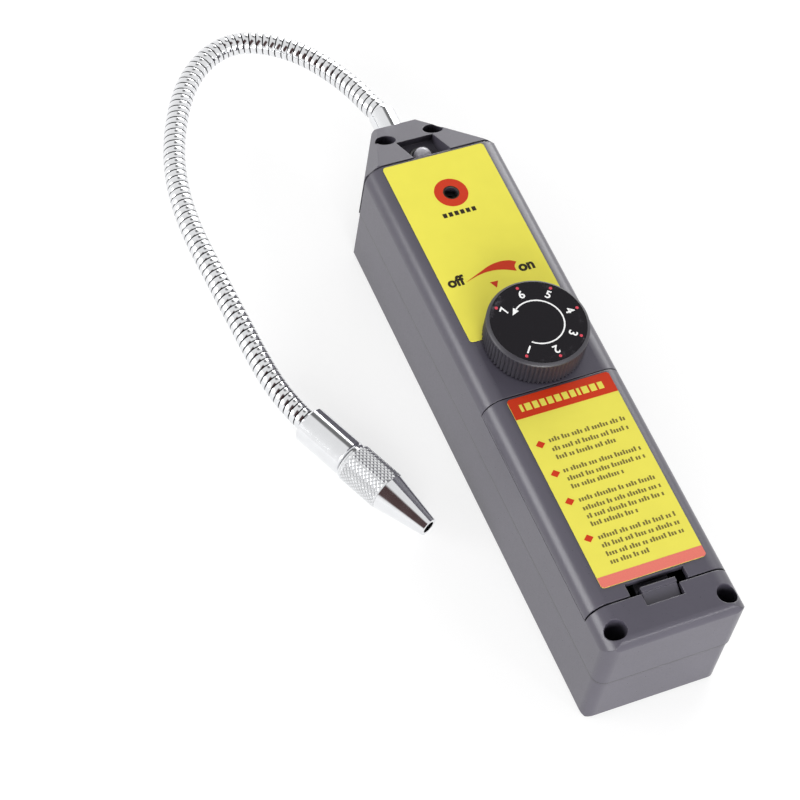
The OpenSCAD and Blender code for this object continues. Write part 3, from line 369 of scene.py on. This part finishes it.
def cell_wrap(name):
    """Shrink film round a cell."""
    # Glossy dark film with a broad copper-coloured band at the terminal end
    material, tree = start_material(name)
    place = add(tree, "ShaderNodeTexCoord").outputs["Object"]
    axes = add(tree, "ShaderNodeSeparateXYZ", links={"Vector": place})
    lo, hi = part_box("cell_1")
    band = add(tree, "ShaderNodeMath", {1: lo.y + 0.72 * (hi.y - lo.y)}, {0: axes.outputs["Y"]},
               operation="GREATER_THAN")
    body = add(tree, "ShaderNodeMix", {MIX_A: shade(linear("#20242B")), MIX_B: shade(linear("#B07A45"))},
               {MIX_FACTOR: band.outputs["Value"]}, data_type="RGBA")
    shader = add(tree, "ShaderNodeBsdfPrincipled", {"IOR": 1.5, "Roughness": 0.28},
                 {"Base Color": body.outputs[MIX_RESULT]})
    add(tree, "ShaderNodeOutputMaterial", links={"Surface": shader.outputs["BSDF"]})
    return material


def dress(nodes, material):
    """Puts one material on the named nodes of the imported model."""
    for name in nodes:
        mesh = frame["nodes"][name].data
        mesh.materials.clear()
        mesh.materials.append(material)


def fresh():
    """Leaves edit mode and deselects everything."""
    if bpy.context.object and bpy.context.object.mode != "OBJECT":
        bpy.ops.object.mode_set(mode="OBJECT")
    bpy.ops.object.select_all(action="DESELECT")


def draw_line(points):
    """Draws a line of corners by extruding one point, and stays in edit mode with all of it selected."""
    fresh()
    bpy.ops.mesh.primitive_plane_add(size=MM, location=(0, 0, 0))
    bpy.ops.object.mode_set(mode="EDIT")
    bpy.ops.mesh.merge(type="CENTER")
    bpy.ops.transform.translate(value=points[0])
    for here, there in zip(points, points[1:]):
        step = Vector(there) - Vector(here)
        bpy.ops.mesh.extrude_vertices_move(TRANSFORM_OT_translate={"value": step})
    bpy.ops.mesh.select_all(action="SELECT")
    return bpy.context.object


def weld():
    """Merges doubled corners in edit mode, turns all faces outward and goes back to object mode."""
    bpy.ops.mesh.select_all(action="SELECT")
    bpy.ops.mesh.remove_doubles(threshold=0.002 * MM)
    bpy.ops.mesh.normals_make_consistent(inside=False)
    bpy.ops.object.mode_set(mode="OBJECT")


def spin_up(points, sides):
    """Turns a line of (radius, height) corners round the Z axis into a closed solid."""
    piece = draw_line([(r, 0, z) for r, z in points])
    bpy.ops.mesh.spin(steps=sides, angle=math.tau, center=(0, 0, 0), axis=(0, 0, 1))
    weld()
    return piece


def settle(piece, name, body, material, replaces=(), smooth=35.0):
    """Names a finished piece, puts its place in its mesh and lets it ride on a body."""
    fresh()
    piece.select_set(True)
    bpy.context.view_layer.objects.active = piece
    bpy.ops.object.transform_apply(location=True, rotation=True, scale=True)
    if smooth:
        bpy.ops.object.shade_smooth_by_angle(angle=math.radians(smooth))
    piece.name = piece.data.name = name
    piece.data.materials.clear()
    piece.data.materials.append(material)
    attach(piece, body)
    if replaces:
        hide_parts(*replaces)
    return piece


def flat_shape(outlines, low, thickness):
    """A thin plate from closed outlines in mm, of which inner ones are holes.

    A corner is (x, y), or (x, y, "round") where the outline runs on smoothly.
    """
    fresh()
    shape = bpy.data.curves.new("shape", "CURVE")
    shape.dimensions = "2D"
    shape.fill_mode = "BOTH"
    shape.extrude = thickness / 2
    shape.resolution_u = 6
    for outline in outlines:
        spline = shape.splines.new("BEZIER")
        spline.bezier_points.add(len(outline) - 1)
        spline.use_cyclic_u = True
        for point, corner in zip(spline.bezier_points, outline):
            point.co = (corner[0] * MM, corner[1] * MM, 0)
            point.handle_left_type = point.handle_right_type = "AUTO" if len(corner) == 3 else "VECTOR"
    piece = bpy.data.objects.new("shape", shape)
    bpy.context.collection.objects.link(piece)
    return to_mesh(piece, low + thickness / 2)


def to_mesh(piece, height):
    """Makes a curve or text a mesh at a height, and selects it alone."""
    fresh()
    piece.location.z += height
    piece.select_set(True)
    bpy.context.view_layer.objects.active = piece
    bpy.ops.object.convert(target="MESH")
    piece = bpy.context.object
    bpy.ops.object.transform_apply(location=True, rotation=True, scale=True)
    bpy.ops.object.mode_set(mode="EDIT")
    weld()
    return piece


def words(text, size, x, y, turn, low, thickness, boldness):
    """Bold words as a thin plate, centred on a point in mm and turned in degrees."""
    fresh()
    bpy.ops.object.text_add(location=(x * MM, y * MM, 0), rotation=(0, 0, math.radians(turn)))
    piece = bpy.context.object
    piece.data.body = text
    piece.data.size = size
    piece.data.align_x = "CENTER"
    piece.data.align_y = "CENTER"
    piece.data.offset = boldness
    piece.data.extrude = thickness / 2
    return to_mesh(piece, low + thickness / 2)


def joined(pieces):
    """Joins pieces into the first one."""
    fresh()
    for piece in pieces:
        piece.select_set(True)
    bpy.context.view_layer.objects.active = pieces[0]
    bpy.ops.object.join()
    return bpy.context.object


def ring_outline(x, y, radius, corners=12):
    """A smooth circle as an outline in mm."""
    angles = [math.tau * i / corners for i in range(corners)]
    return [(x + radius * math.cos(a), y + radius * math.sin(a), "round") for a in angles]


def bar_outline(x0, x1, y0, y1):
    """A rectangle as an outline in mm."""
    return [(x0, y0), (x1, y0), (x1, y1), (x0, y1)]


def dial_middle():
    """Middle of the dial plate's upper face."""
    lo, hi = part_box("dial_plate")
    return Vector(((lo.x + hi.x) / 2, (lo.y + hi.y) / 2, hi.z))


def on_dial(radius, angle):
    """A place on the dial in mm, from its middle."""
    middle = dial_middle()
    return (middle.x / MM + radius * math.cos(angle), middle.y / MM + radius * math.sin(angle))


class DETECTOR_OT_case(bpy.types.Operator):
    """Finish both shells and the battery door as grained grey plastic"""

    bl_idname = "detector.case"
    bl_label = "Case shells and door"

    def execute(self, context):
        sizes, tints = context.scene.detector_sizes, context.scene.detector_colours
        half = sizes.seam_width / 2
        # Painted shade darkens the case's recesses and the line where the shells meet
        shell = moulded_plastic("abs_spark_grained_grey", list(tints.case_grey), rough=0.3,
                                edge=sizes.edge_softness, reach=sizes.recess_reach,
                                seam=(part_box("front_shell")[0].z + half, half))
        dress(("front_shell", "rear_shell", "battery_door"), shell)
        return {"FINISHED"}


class DETECTOR_OT_labels(bpy.types.Operator):
    """Finish both label films and print them"""

    bl_idname = "detector.labels"
    bl_label = "Printed labels"

    def execute(self, context):
        sizes, tints = context.scene.detector_sizes, context.scene.detector_colours
        dress(("face_label",), label_film("vinyl_yellow_film", list(tints.label_yellow)))
        dress(("door_label",), label_film("vinyl_pale_film", list(tints.door_yellow)))
        red = print_ink("screen_ink_red", list(tints.ink_red))
        coral = print_ink("screen_ink_coral", list(tints.ink_coral))
        brown = print_ink("screen_ink_brown", list(tints.ink_brown))
        olive = print_ink("screen_ink_olive", list(tints.ink_olive))
        pale = print_ink("screen_ink_pale", list(tints.door_yellow))
        thick = sizes.print_thickness
        self.face_print(sizes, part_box("face_label")[1].z, thick, red, brown)
        self.door_print(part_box("door_label"), thick, red, coral, olive, pale)
        return {"FINISHED"}

    def face_print(self, sizes, top, thick, red, brown):
        """Ring round the sounder's hole, its caption as bars, and the switch's words, sweep and index."""
        lo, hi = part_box("buzzer")
        sound = ((lo.x + hi.x) / 2 / MM, (lo.y + hi.y) / 2 / MM)
        ring_r, rim_r, hole_r = 4.75, 2.3, 1.95
        ring = [ring_outline(*sound, ring_r), ring_outline(*sound, rim_r)]
        settle(flat_shape(ring + [SWEEP, INDEX_MARK], top, thick), "face_print_red", "case", red,
               smooth=0)
        left, low, high, bar, step = -6.0, 56.7, 58.15, 1.15, 1.72
        caption = [bar_outline(left + step * i, left + bar + step * i, low, high) for i in range(6)]
        rim = [ring_outline(*sound, rim_r), ring_outline(*sound, hole_r)]
        dark, boldness = [flat_shape(caption + rim, top, thick)], 0.18 * MM
        for text, x, y in (("off", -11.6, 36.0), ("on", 9.0, 35.2)):
            dark.append(words(text, sizes.switch_word_size, x, y, 0, top, thick, boldness))
        settle(joined(dark), "face_print_dark", "case", brown, smooth=0)

    def door_print(self, sheet, thick, red, coral, olive, pale):
        """Heading band with bars for letters, bullets, rows of strokes for small print and a foot band."""
        (left, foot, _), (right, head, top) = (corner / MM for corner in sheet)
        top *= MM
        heading_h, foot_h, corner = 6.4, 3.1, 0.6
        header = [(left, head - heading_h), (right, head - heading_h), (right, head - corner),
                  (right - corner, head), (left + corner, head), (left, head - corner)]
        mid, half_w, half_h = -11.25, 1.35, 1.2
        bullets = [[(mid - half_w, y), (mid, y - half_h), (mid + half_w, y), (mid, y + half_h)] for y in BULLETS]
        settle(flat_shape([header] + bullets, top, thick), "door_print_red", "door", red, smooth=0)
        band = [(left, foot + corner), (left + corner, foot), (right - corner, foot), (right, foot + corner),
                (right, foot + foot_h), (left, foot + foot_h)]
        settle(flat_shape([band], top, thick), "door_print_coral", "door", coral, smooth=0)
        bars, x, space, low, high = [], -11.7, 0.59, head - 4.5, head - 2.3
        for width in HEADING_BARS:
            bars.append(bar_outline(x, x + width, low, high))
            x += width + space
        settle(flat_shape(bars, top + thick, thick), "door_print_heading", "door", pale, smooth=0)
        fine = flat_shape(self.small_print(), top, thick)
        settle(fine, "door_print_text", "door", olive, smooth=0)

    def small_print(self):
        """Outlines of the strokes that stand for the small print."""
        strokes, below = [], 0.55
        for row, (x, end, y) in enumerate(TEXT_ROWS):
            word, letter = row, 0
            while x < end - STROKE_WIDTH:
                tall = STROKE_HEIGHTS[(3 * row + 5 * word + letter) % len(STROKE_HEIGHTS)]
                strokes.append(bar_outline(x, x + STROKE_WIDTH, y - below, y - below + tall))
                letter += 1
                x += STROKE_STEP
                if letter >= WORD_LENGTHS[word % len(WORD_LENGTHS)]:
                    word, letter, x = word + 1, 0, x + WORD_SPACE
        return strokes


class DETECTOR_OT_knob(bpy.types.Operator):
    """Model the fluted knob, finish its black dial and print the scale"""

    bl_idname = "detector.knob"
    bl_label = "Knob and dial"

    def execute(self, context):
        sizes, tints = context.scene.detector_sizes, context.scene.detector_colours
        # Painted shade darkens the knob's flutes and hollows
        satin = moulded_plastic("abs_satin_knob_grey", list(tints.knob_grey), rough=0.42, grain_mm=0.3,
                                edge=0.2 * MM, reach=sizes.recess_reach / 4)
        settle(self.grip(sizes), "knob_grip", "knob", satin, ("sensitivity_knob",), smooth=60.0)
        dress(("dial_plate",), dial_gloss("styrene_gloss_black", list(tints.dial_black)))
        white = print_ink("screen_ink_white", list(tints.ink_white))
        pink = print_ink("screen_ink_pink", list(tints.ink_pink))
        top, thick = dial_middle().z, sizes.print_thickness
        dot_run, numeral_run, boldness = 11.7, 9.35, 0.06 * MM
        # At rest the sixth mark stands 94.8 degrees round, and the marks are an eighth of a turn apart
        angles = [math.radians(94.8 + 45 * (k - 6)) for k in range(1, 8)]
        dots = [ring_outline(*on_dial(dot_run, a), sizes.dot_radius / MM, corners=8) for a in angles]
        settle(flat_shape(dots, top, thick), "dial_dots", "knob", pink, smooth=0)
        marks = [words(str(k), sizes.numeral_size, *on_dial(numeral_run, a), math.degrees(a) - 90, top, thick,
                       boldness) for k, a in enumerate(angles, 1)]
        marks.append(flat_shape(self.arrow(sizes), top, thick))
        settle(joined(marks), "dial_scale", "knob", white, smooth=0)
        return {"FINISHED"}

    def grip(self, sizes):
        """The hollow knob, turned from its half section, with flutes pressed into its skirt."""
        piece = spin_up([(r * MM, h * MM) for r, h in KNOB_SECTION], sides=6 * sizes.knob_flutes)
        for point in piece.data.vertices:
            radius = math.hypot(point.co.x, point.co.y)
            if radius > KNOB_SKIRT * MM and point.co.z < FLUTE_END * MM:
                fade = min(1.0, (FLUTE_END - point.co.z / MM) / (FLUTE_END - FLUTE_FADE))
                turn = math.atan2(point.co.y, point.co.x)
                press = sizes.flute_depth * fade * math.sin(turn * sizes.knob_flutes / 2) ** 2
                point.co.x *= 1 - press / radius
                point.co.y *= 1 - press / radius
        piece.location = (dial_middle().x, dial_middle().y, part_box("sensitivity_knob")[0].z)
        return piece

    def arrow(self, sizes):
        """Outlines of the dial's arrow: a long arc and its head."""
        middle, half = sizes.arc_radius / MM, sizes.arc_width / MM / 2
        start, end, steps = math.radians(-130), math.radians(128), 24
        turns = [start + (end - start) * i / steps for i in range(steps + 1)]
        outer = [(*on_dial(middle + half, a), "round") for a in turns]
        inner = [(*on_dial(middle - half, a), "round") for a in reversed(turns)]
        for edge in (outer, inner):
            edge[0], edge[-1] = edge[0][:2], edge[-1][:2]
        head_r, overlap, reach = 0.9, 0.02, 0.3
        head = [on_dial(middle + head_r, end - overlap), on_dial(middle + 0.1, end + reach),
                on_dial(middle - head_r, end - overlap)]
        return [outer + inner, head]


class DETECTOR_OT_lamp(bpy.types.Operator):
    """Finish the clear lamp and its holder, and put the lead frame inside the lens"""

    bl_idname = "detector.lamp"
    bl_label = "Lamp"

    def execute(self, context):
        lo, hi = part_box("indicator_led")
        x, y, foot = (lo.x + hi.x) / 2, (lo.y + hi.y) / 2, hi.z - 6.5 * MM
        lens = clear_resin("epoxy_clear_cast", list(context.scene.detector_colours.lens_clear))
        dress(("indicator_led",), lens)
        holder = moulded_plastic("nylon_black_moulded", linear("#1A1A1D"), rough=0.45, grain_mm=0.3)
        dress(("led_holder",), holder)
        silver = bright_metal("silver_plated_frame", linear("#D8D8DC"), rough=0.25, haze_mm=0.8)
        cup = spin_up([(r * MM, h * MM) for r, h in LAMP_CUP], sides=24)
        cup_right, post_left, post_w, post_h = 0.5 * MM, 0.95 * MM, 0.5 * MM, 3 * MM
        cup.location = (x + cup_right, y, foot)
        fresh()
        bpy.ops.mesh.primitive_cube_add(size=1, location=(x - post_left, y, foot + post_h / 2))
        post = bpy.context.object
        post.scale = (post_w, post_w, post_h)
        bpy.ops.object.transform_apply(location=True, rotation=True, scale=True)
        bpy.ops.object.mode_set(mode="EDIT")
        bpy.ops.mesh.select_all(action="SELECT")
        bpy.ops.mesh.bevel(offset=0.08 * MM, segments=2)
        bpy.ops.object.mode_set(mode="OBJECT")
        settle(joined([cup, post]), "lamp_lead_frame", "case", silver)
        return {"FINISHED"}


class DETECTOR_OT_gooseneck(bpy.types.Operator):
    """Wind the gooseneck along its bends and plate it with its ferrule"""

    bl_idname = "detector.gooseneck"
    bl_label = "Gooseneck and ferrule"

    def execute(self, context):
        sizes, tints = context.scene.detector_sizes, context.scene.detector_colours
        chrome = list(tints.chrome)
        plate = bright_metal("chrome_polished_plate", chrome, rough=0.09, haze_mm=3)
        # The wound strip and the knurl take painted shade in their grooves
        coil = bright_metal("chrome_wound_strip", chrome, rough=0.1, haze_mm=3, reach=0.9 * MM)
        knurl = bright_metal("chrome_knurled_plate", chrome, rough=0.12, haze_mm=3, reach=0.6 * MM)
        dress(("probe_ferrule", "tip_socket"), plate)
        dress(("tip_cover",), knurl)
        path = self.route()
        run = path.data.splines[0].calc_length()
        turns = int(run / sizes.goose_pitch)
        pitch = run / turns
        radius, groove = sizes.goose_diameter / 2, sizes.goose_groove
        # Share of one turn, and depth below its crest
        shape = ((0, groove), (0.09, 0.2 * groove), (0.26, 0.04 * groove), (0.5, 0), (0.74, 0.04 * groove),
                 (0.91, 0.2 * groove), (1, groove))
        arm = draw_line([(radius - depth, 0, pitch * share) for share, depth in shape])
        bpy.ops.object.mode_set(mode="OBJECT")
        wind = arm.modifiers.new("wind", "SCREW")
        wind.screw_offset = pitch
        wind.iterations = turns - 1
        wind.steps = wind.render_steps = sizes.goose_sides
        bpy.ops.object.modifier_apply(modifier="wind")
        bend = arm.modifiers.new("bend", "CURVE")
        bend.object = path
        bend.deform_axis = "POS_Z"
        bpy.ops.object.modifier_apply(modifier="bend")
        bpy.data.objects.remove(path)
        bpy.ops.object.mode_set(mode="EDIT")
        bpy.ops.mesh.select_all(action="SELECT")
        bpy.ops.mesh.remove_doubles(threshold=0.01 * MM)
        bpy.ops.mesh.fill_holes(sides=0)
        bpy.ops.mesh.select_all(action="SELECT")
        bpy.ops.mesh.normals_make_consistent(inside=False)
        bpy.ops.object.mode_set(mode="OBJECT")
        settle(arm, "gooseneck_wound", "case", coil, ("gooseneck",), smooth=50.0)
        return {"FINISHED"}

    def route(self):
        """The arm's centre line, from inside the ferrule to inside the socket."""
        lo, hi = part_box("probe_ferrule")
        mouth = Vector(((lo.x + hi.x) / 2, hi.y, (lo.z + hi.z) / 2))
        way = Vector((math.cos(TIP_HEADING), math.sin(TIP_HEADING), 0))
        tip = mouth + Vector(TIP_START) * MM
        hidden = 4.85 * MM
        bends = [mouth + Vector(bend) * MM for bend in BENDS]
        points = [mouth - Vector((0, hidden, 0)), mouth, *bends, tip, tip + way * hidden]
        line = bpy.data.curves.new("route", "CURVE")
        line.dimensions = "3D"
        line.resolution_u = 12
        spline = line.splines.new("BEZIER")
        spline.bezier_points.add(len(points) - 1)
        for knot, place in zip(spline.bezier_points, points):
            knot.co = place
            knot.handle_left_type = knot.handle_right_type = "AUTO"
        path = bpy.data.objects.new("route", line)
        bpy.context.collection.objects.link(path)
        bpy.context.view_layer.update()
        return path


class DETECTOR_OT_screws(bpy.types.Operator):
    """Model the pan-head case screws with cross recesses"""

    bl_idname = "detector.screws"
    bl_label = "Case screws"

    def execute(self, context):
        steel = bright_metal("zinc_plated_steel", linear("#8E8E94"), rough=0.35, haze_mm=1.5)
        lo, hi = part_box("case_screws")
        top, low = hi.z, lo.z
        head_r, head_h, shank_r = 2.4 * MM, 1.7 * MM, 1.2 * MM
        spots = [(x * MM, y * MM) for x, y in SCREW_SPOTS]
        shank = [(0, low), (shank_r, low), (shank_r, top - head_h), (head_r, top - head_h)]
        crown = [(head_r, top - 0.9 * MM), (head_r * 0.86, top - 0.3 * MM), (head_r * 0.5, top - 0.05 * MM),
                 (0, top)]
        screw = spin_up(shank + crown, sides=32)
        recess = (2.9 * MM, 0.6 * MM, 2 * MM)
        for turn in (0, math.pi / 2):
            fresh()
            bpy.ops.mesh.primitive_cube_add(size=1, location=(0, 0, top), rotation=(0, 0, turn))
            slot = bpy.context.object
            slot.scale = recess
            fresh()
            screw.select_set(True)
            bpy.context.view_layer.objects.active = screw
            cut = screw.modifiers.new("cut", "BOOLEAN")
            cut.operation = "DIFFERENCE"
            cut.object = slot
            bpy.ops.object.modifier_apply(modifier="cut")
            bpy.data.objects.remove(slot)
        copies = [screw]
        for x, y in spots[1:]:
            twin = screw.copy()
            twin.data = screw.data.copy()
            bpy.context.collection.objects.link(twin)
            twin.location = (x, y, 0)
            copies.append(twin)
        screw.location = (*spots[0], 0)
        settle(joined(copies), "case_screws_cross", "case", steel, ("case_screws",))
        return {"FINISHED"}


class DETECTOR_OT_inner_parts(bpy.types.Operator):
    """Finish the battery bay, control, electronics and sensor"""

    bl_idname = "detector.inner_parts"
    bl_label = "Inner parts"

    def execute(self, context):
        finishes = {
            "plated_metal": bright_metal("nickel_plated_steel", linear("#C4C4C8"), rough=0.25, haze_mm=1.5),
            "aluminium_metal": bright_metal("aluminium_turned", linear("#C9C9CC"), rough=0.3, haze_mm=0.6),
            "brass_metal": bright_metal("brass_turned", linear("#C9A55A"), rough=0.25, haze_mm=0.8),
            "black_plastic": moulded_plastic("nylon_black_grained", linear("#202024"), rough=0.5, grain_mm=0.3),
            "board_laminate": solder_mask("fibreglass_green_mask"),
            "cell_sleeve": cell_wrap("shrink_film_dark"),
            "red_insulation": moulded_plastic("pvc_red_drawn", linear("#B3261E"), rough=0.4, grain_mm=0.8),
            "white_insulation": moulded_plastic("ptfe_white_drawn", linear("#E6E2D6"), rough=0.4, grain_mm=0.8),
            "white_ceramic": moulded_plastic("steatite_unglazed", linear("#E4DCC8"), rough=0.7, grain_mm=0.3),
        }
        for name, node in frame["nodes"].items():
            if not node.hide_render and name not in OUTER_NODES:
                dress((name,), finishes[SLOTS[name]])
        return {"FINISHED"}


class DETECTOR_OT_stage(bpy.types.Operator):
    """Set the white table, the soft lights and the camera"""

    bl_idname = "detector.stage"
    bl_label = "Stage"

    def execute(self, context):
        self.table()
        self.surroundings(context.scene)
        for name, place, size, power in LAMPS:
            self.lamp(name, place, size, power)
        self.camera(context.scene)
        context.scene.view_settings.view_transform = "Standard"
        return {"FINISHED"}

    def seen(self, tree):
        """A socket that is 1 where the eye, a mirror or a clear lens looks straight at a surface."""
        path = add(tree, "ShaderNodeLightPath")
        first = add(tree, "ShaderNodeMath", links={0: path.outputs["Is Camera Ray"],
                                                   1: path.outputs["Is Glossy Ray"]}, operation="MAXIMUM")
        both = add(tree, "ShaderNodeMath", links={0: first.outputs[0], 1: path.outputs["Is Transmission Ray"]},
                   operation="MAXIMUM")
        return both.outputs[0]

    def table(self):
        """White paper: a matt sheet that shows as white where it is lit and keeps the soft shadow."""
        fresh()
        bpy.ops.mesh.primitive_plane_add(size=8, location=(0, 0, -0.02 * MM))
        sheet = bpy.context.object
        sheet.name = "white_table"
        paper, tree = start_material("white_paper")
        matt = add(tree, "ShaderNodeBsdfDiffuse", {"Color": (0.33, 0.33, 0.33, 1)})
        glow = add(tree, "ShaderNodeEmission", links={"Strength": add(
            tree, "ShaderNodeMath", {1: 0.69}, {0: self.seen(tree)}, operation="MULTIPLY").outputs[0]})
        both = add(tree, "ShaderNodeAddShader", links={0: matt.outputs[0], 1: glow.outputs[0]})
        add(tree, "ShaderNodeOutputMaterial", links={"Surface": both.outputs[0]})
        sheet.data.materials.append(paper)

    def surroundings(self, scene):
        """A white room, in which mirrors also see a dim patch of ceiling and a dark figure by the camera."""
        world = bpy.data.worlds.new("white_room")
        scene.world = world
        world.use_nodes = True
        tree = world.node_tree
        tree.nodes.clear()
        way = add(tree, "ShaderNodeTexCoord").outputs["Generated"]
        path = add(tree, "ShaderNodeLightPath")
        # The panel and the dial mirror the patch, which keeps them free of sheen
        patch = add(tree, "ShaderNodeVectorMath", {1: (0.33, 0.49, 0.807)}, {0: way}, operation="DOT_PRODUCT")
        ceiling = add(tree, "ShaderNodeMapRange",
                      {"From Min": 0.96, "From Max": 0.99, "To Min": 1, "To Max": 0.2},
                      {"Value": patch.outputs["Value"]})
        # The tip's cone mirrors the figure, a band from the camera down to the left
        across = add(tree, "ShaderNodeVectorMath", {1: (0.447, -0.891, -0.075)}, {0: way},
                     operation="DOT_PRODUCT")
        aside = add(tree, "ShaderNodeMath", links={0: across.outputs["Value"]}, operation="ABSOLUTE")
        width = add(tree, "ShaderNodeMapRange", {"From Min": 0.2, "From Max": 0.27},
                    {"Value": aside.outputs["Value"]})
        along = add(tree, "ShaderNodeVectorMath", {1: (-0.546, -0.345, 0.763)}, {0: way},
                    operation="DOT_PRODUCT")
        height = add(tree, "ShaderNodeMapRange", {"From Min": 0.78, "From Max": 0.88, "To Min": 1, "To Max": 0},
                     {"Value": along.outputs["Value"]})
        beyond = add(tree, "ShaderNodeMath", links={0: width.outputs["Result"], 1: height.outputs["Result"]},
                     operation="MAXIMUM")
        tint = add(tree, "ShaderNodeMix", {MIX_A: (0.09, 0.055, 0.055, 1), MIX_B: (1, 1, 1, 1)},
                   {MIX_FACTOR: beyond.outputs["Value"]}, data_type="RGBA")
        axes = add(tree, "ShaderNodeSeparateXYZ", links={"Vector": way})
        upper = add(tree, "ShaderNodeMapRange", {"To Min": 1, "To Max": 0.85}, {"Value": axes.outputs["Z"]})
        glint = add(tree, "ShaderNodeMath", links={0: ceiling.outputs["Result"], 1: upper.outputs["Result"]},
                    operation="MULTIPLY")
        mirrored = add(tree, "ShaderNodeBackground", links={"Color": tint.outputs[MIX_RESULT],
                                                            "Strength": glint.outputs["Value"]})
        # Less light from overhead than from the walls leaves the panel darker than the sides
        walls = add(tree, "ShaderNodeMapRange", {"To Min": 1, "To Max": 0.37}, {"Value": axes.outputs["Z"]})
        room = add(tree, "ShaderNodeBackground", {"Color": (1, 1, 1, 1)}, {"Strength": walls.outputs["Result"]})
        lit = add(tree, "ShaderNodeMixShader", links={
            0: path.outputs["Is Glossy Ray"], 1: room.outputs["Background"], 2: mirrored.outputs["Background"]})
        white = add(tree, "ShaderNodeBackground", {"Color": (1, 1, 1, 1), "Strength": 1})
        plain = add(tree, "ShaderNodeMath", links={0: path.outputs["Is Camera Ray"],
                                                   1: path.outputs["Is Transmission Ray"]}, operation="MAXIMUM")
        shown = add(tree, "ShaderNodeMixShader", links={0: plain.outputs["Value"], 1: lit.outputs["Shader"],
                                                        2: white.outputs["Background"]})
        add(tree, "ShaderNodeOutputWorld", links={"Surface": shown.outputs["Shader"]})

    def lamp(self, name, place, size, power):
        """A round soft lamp that looks at the middle of the object."""
        fresh()
        bpy.ops.object.light_add(type="AREA", location=place)
        lamp = bpy.context.object
        lamp.name = name
        lamp.data.shape = "DISK"
        lamp.data.size = size
        lamp.data.energy = power
        middle = Vector((-0.02, 0.03, 0.02))
        lamp.rotation_euler = (middle - Vector(place)).to_track_quat("-Z", "Y").to_euler()

    def camera(self, scene):
        """The photo's camera, whose directions, place in m and lens are fitted to the case's corners."""
        fresh()
        bpy.ops.object.camera_add()
        camera = bpy.context.object
        camera.name = "photo_camera"
        right = (0.91566, -0.38514, 0.11503)
        up = (0.2639, 0.79188, 0.55071)
        back = (-0.30319, -0.47391, 0.82673)
        place = (-0.24097, -0.30741, 0.5856)
        rows = [(*row, where) for row, where in zip(zip(right, up, back), place)]
        camera.matrix_world = Matrix(rows + [(0, 0, 0, 1)])
        sensor, focal_pixels, photo_pixels = 36, 2553.51, 800
        camera.data.sensor_width = sensor
        camera.data.lens = sensor * focal_pixels / photo_pixels
        camera.data.clip_end = 50
        scene.camera = camera


OPERATORS = (
    DETECTOR_OT_case, DETECTOR_OT_labels, DETECTOR_OT_knob, DETECTOR_OT_lamp, DETECTOR_OT_gooseneck,
    DETECTOR_OT_screws, DETECTOR_OT_inner_parts, DETECTOR_OT_stage,
)


class DETECTOR_PT_sidebar(bpy.types.Panel):
    """Steps and values of the leak detector"""

    bl_label = "Leak detector"
    bl_idname = "DETECTOR_PT_sidebar"
    bl_space_type = "VIEW_3D"
    bl_region_type = "UI"
    bl_category = "Detector"

    def draw(self, context):
        for step in OPERATORS:
            self.layout.operator(step.bl_idname)
        for group in (context.scene.detector_sizes, context.scene.detector_colours):
            for key in group.bl_rna.properties.keys():
                if key not in ("rna_type", "name"):
                    self.layout.prop(group, key)


CLASSES = (DetectorSizes, DetectorColours, *OPERATORS, DETECTOR_PT_sidebar)


def register():
    """Makes the groups, operators and panel known."""
    for item in CLASSES:
        bpy.utils.register_class(item)
    bpy.types.Scene.detector_sizes = PointerProperty(type=DetectorSizes)
    bpy.types.Scene.detector_colours = PointerProperty(type=DetectorColours)


def unregister():
    """Takes the groups, operators and panel away again."""
    del bpy.types.Scene.detector_colours
    del bpy.types.Scene.detector_sizes
    for item in reversed(CLASSES):
        bpy.utils.unregister_class(item)


def main():
    """Builds every piece in order."""
    register()
    bpy.ops.detector.case()
    bpy.ops.detector.labels()
    bpy.ops.detector.knob()
    bpy.ops.detector.lamp()
    bpy.ops.detector.gooseneck()
    bpy.ops.detector.screws()
    bpy.ops.detector.inner_parts()
    bpy.ops.detector.stage()
    fresh()


if __name__ == "__main__":
    main()
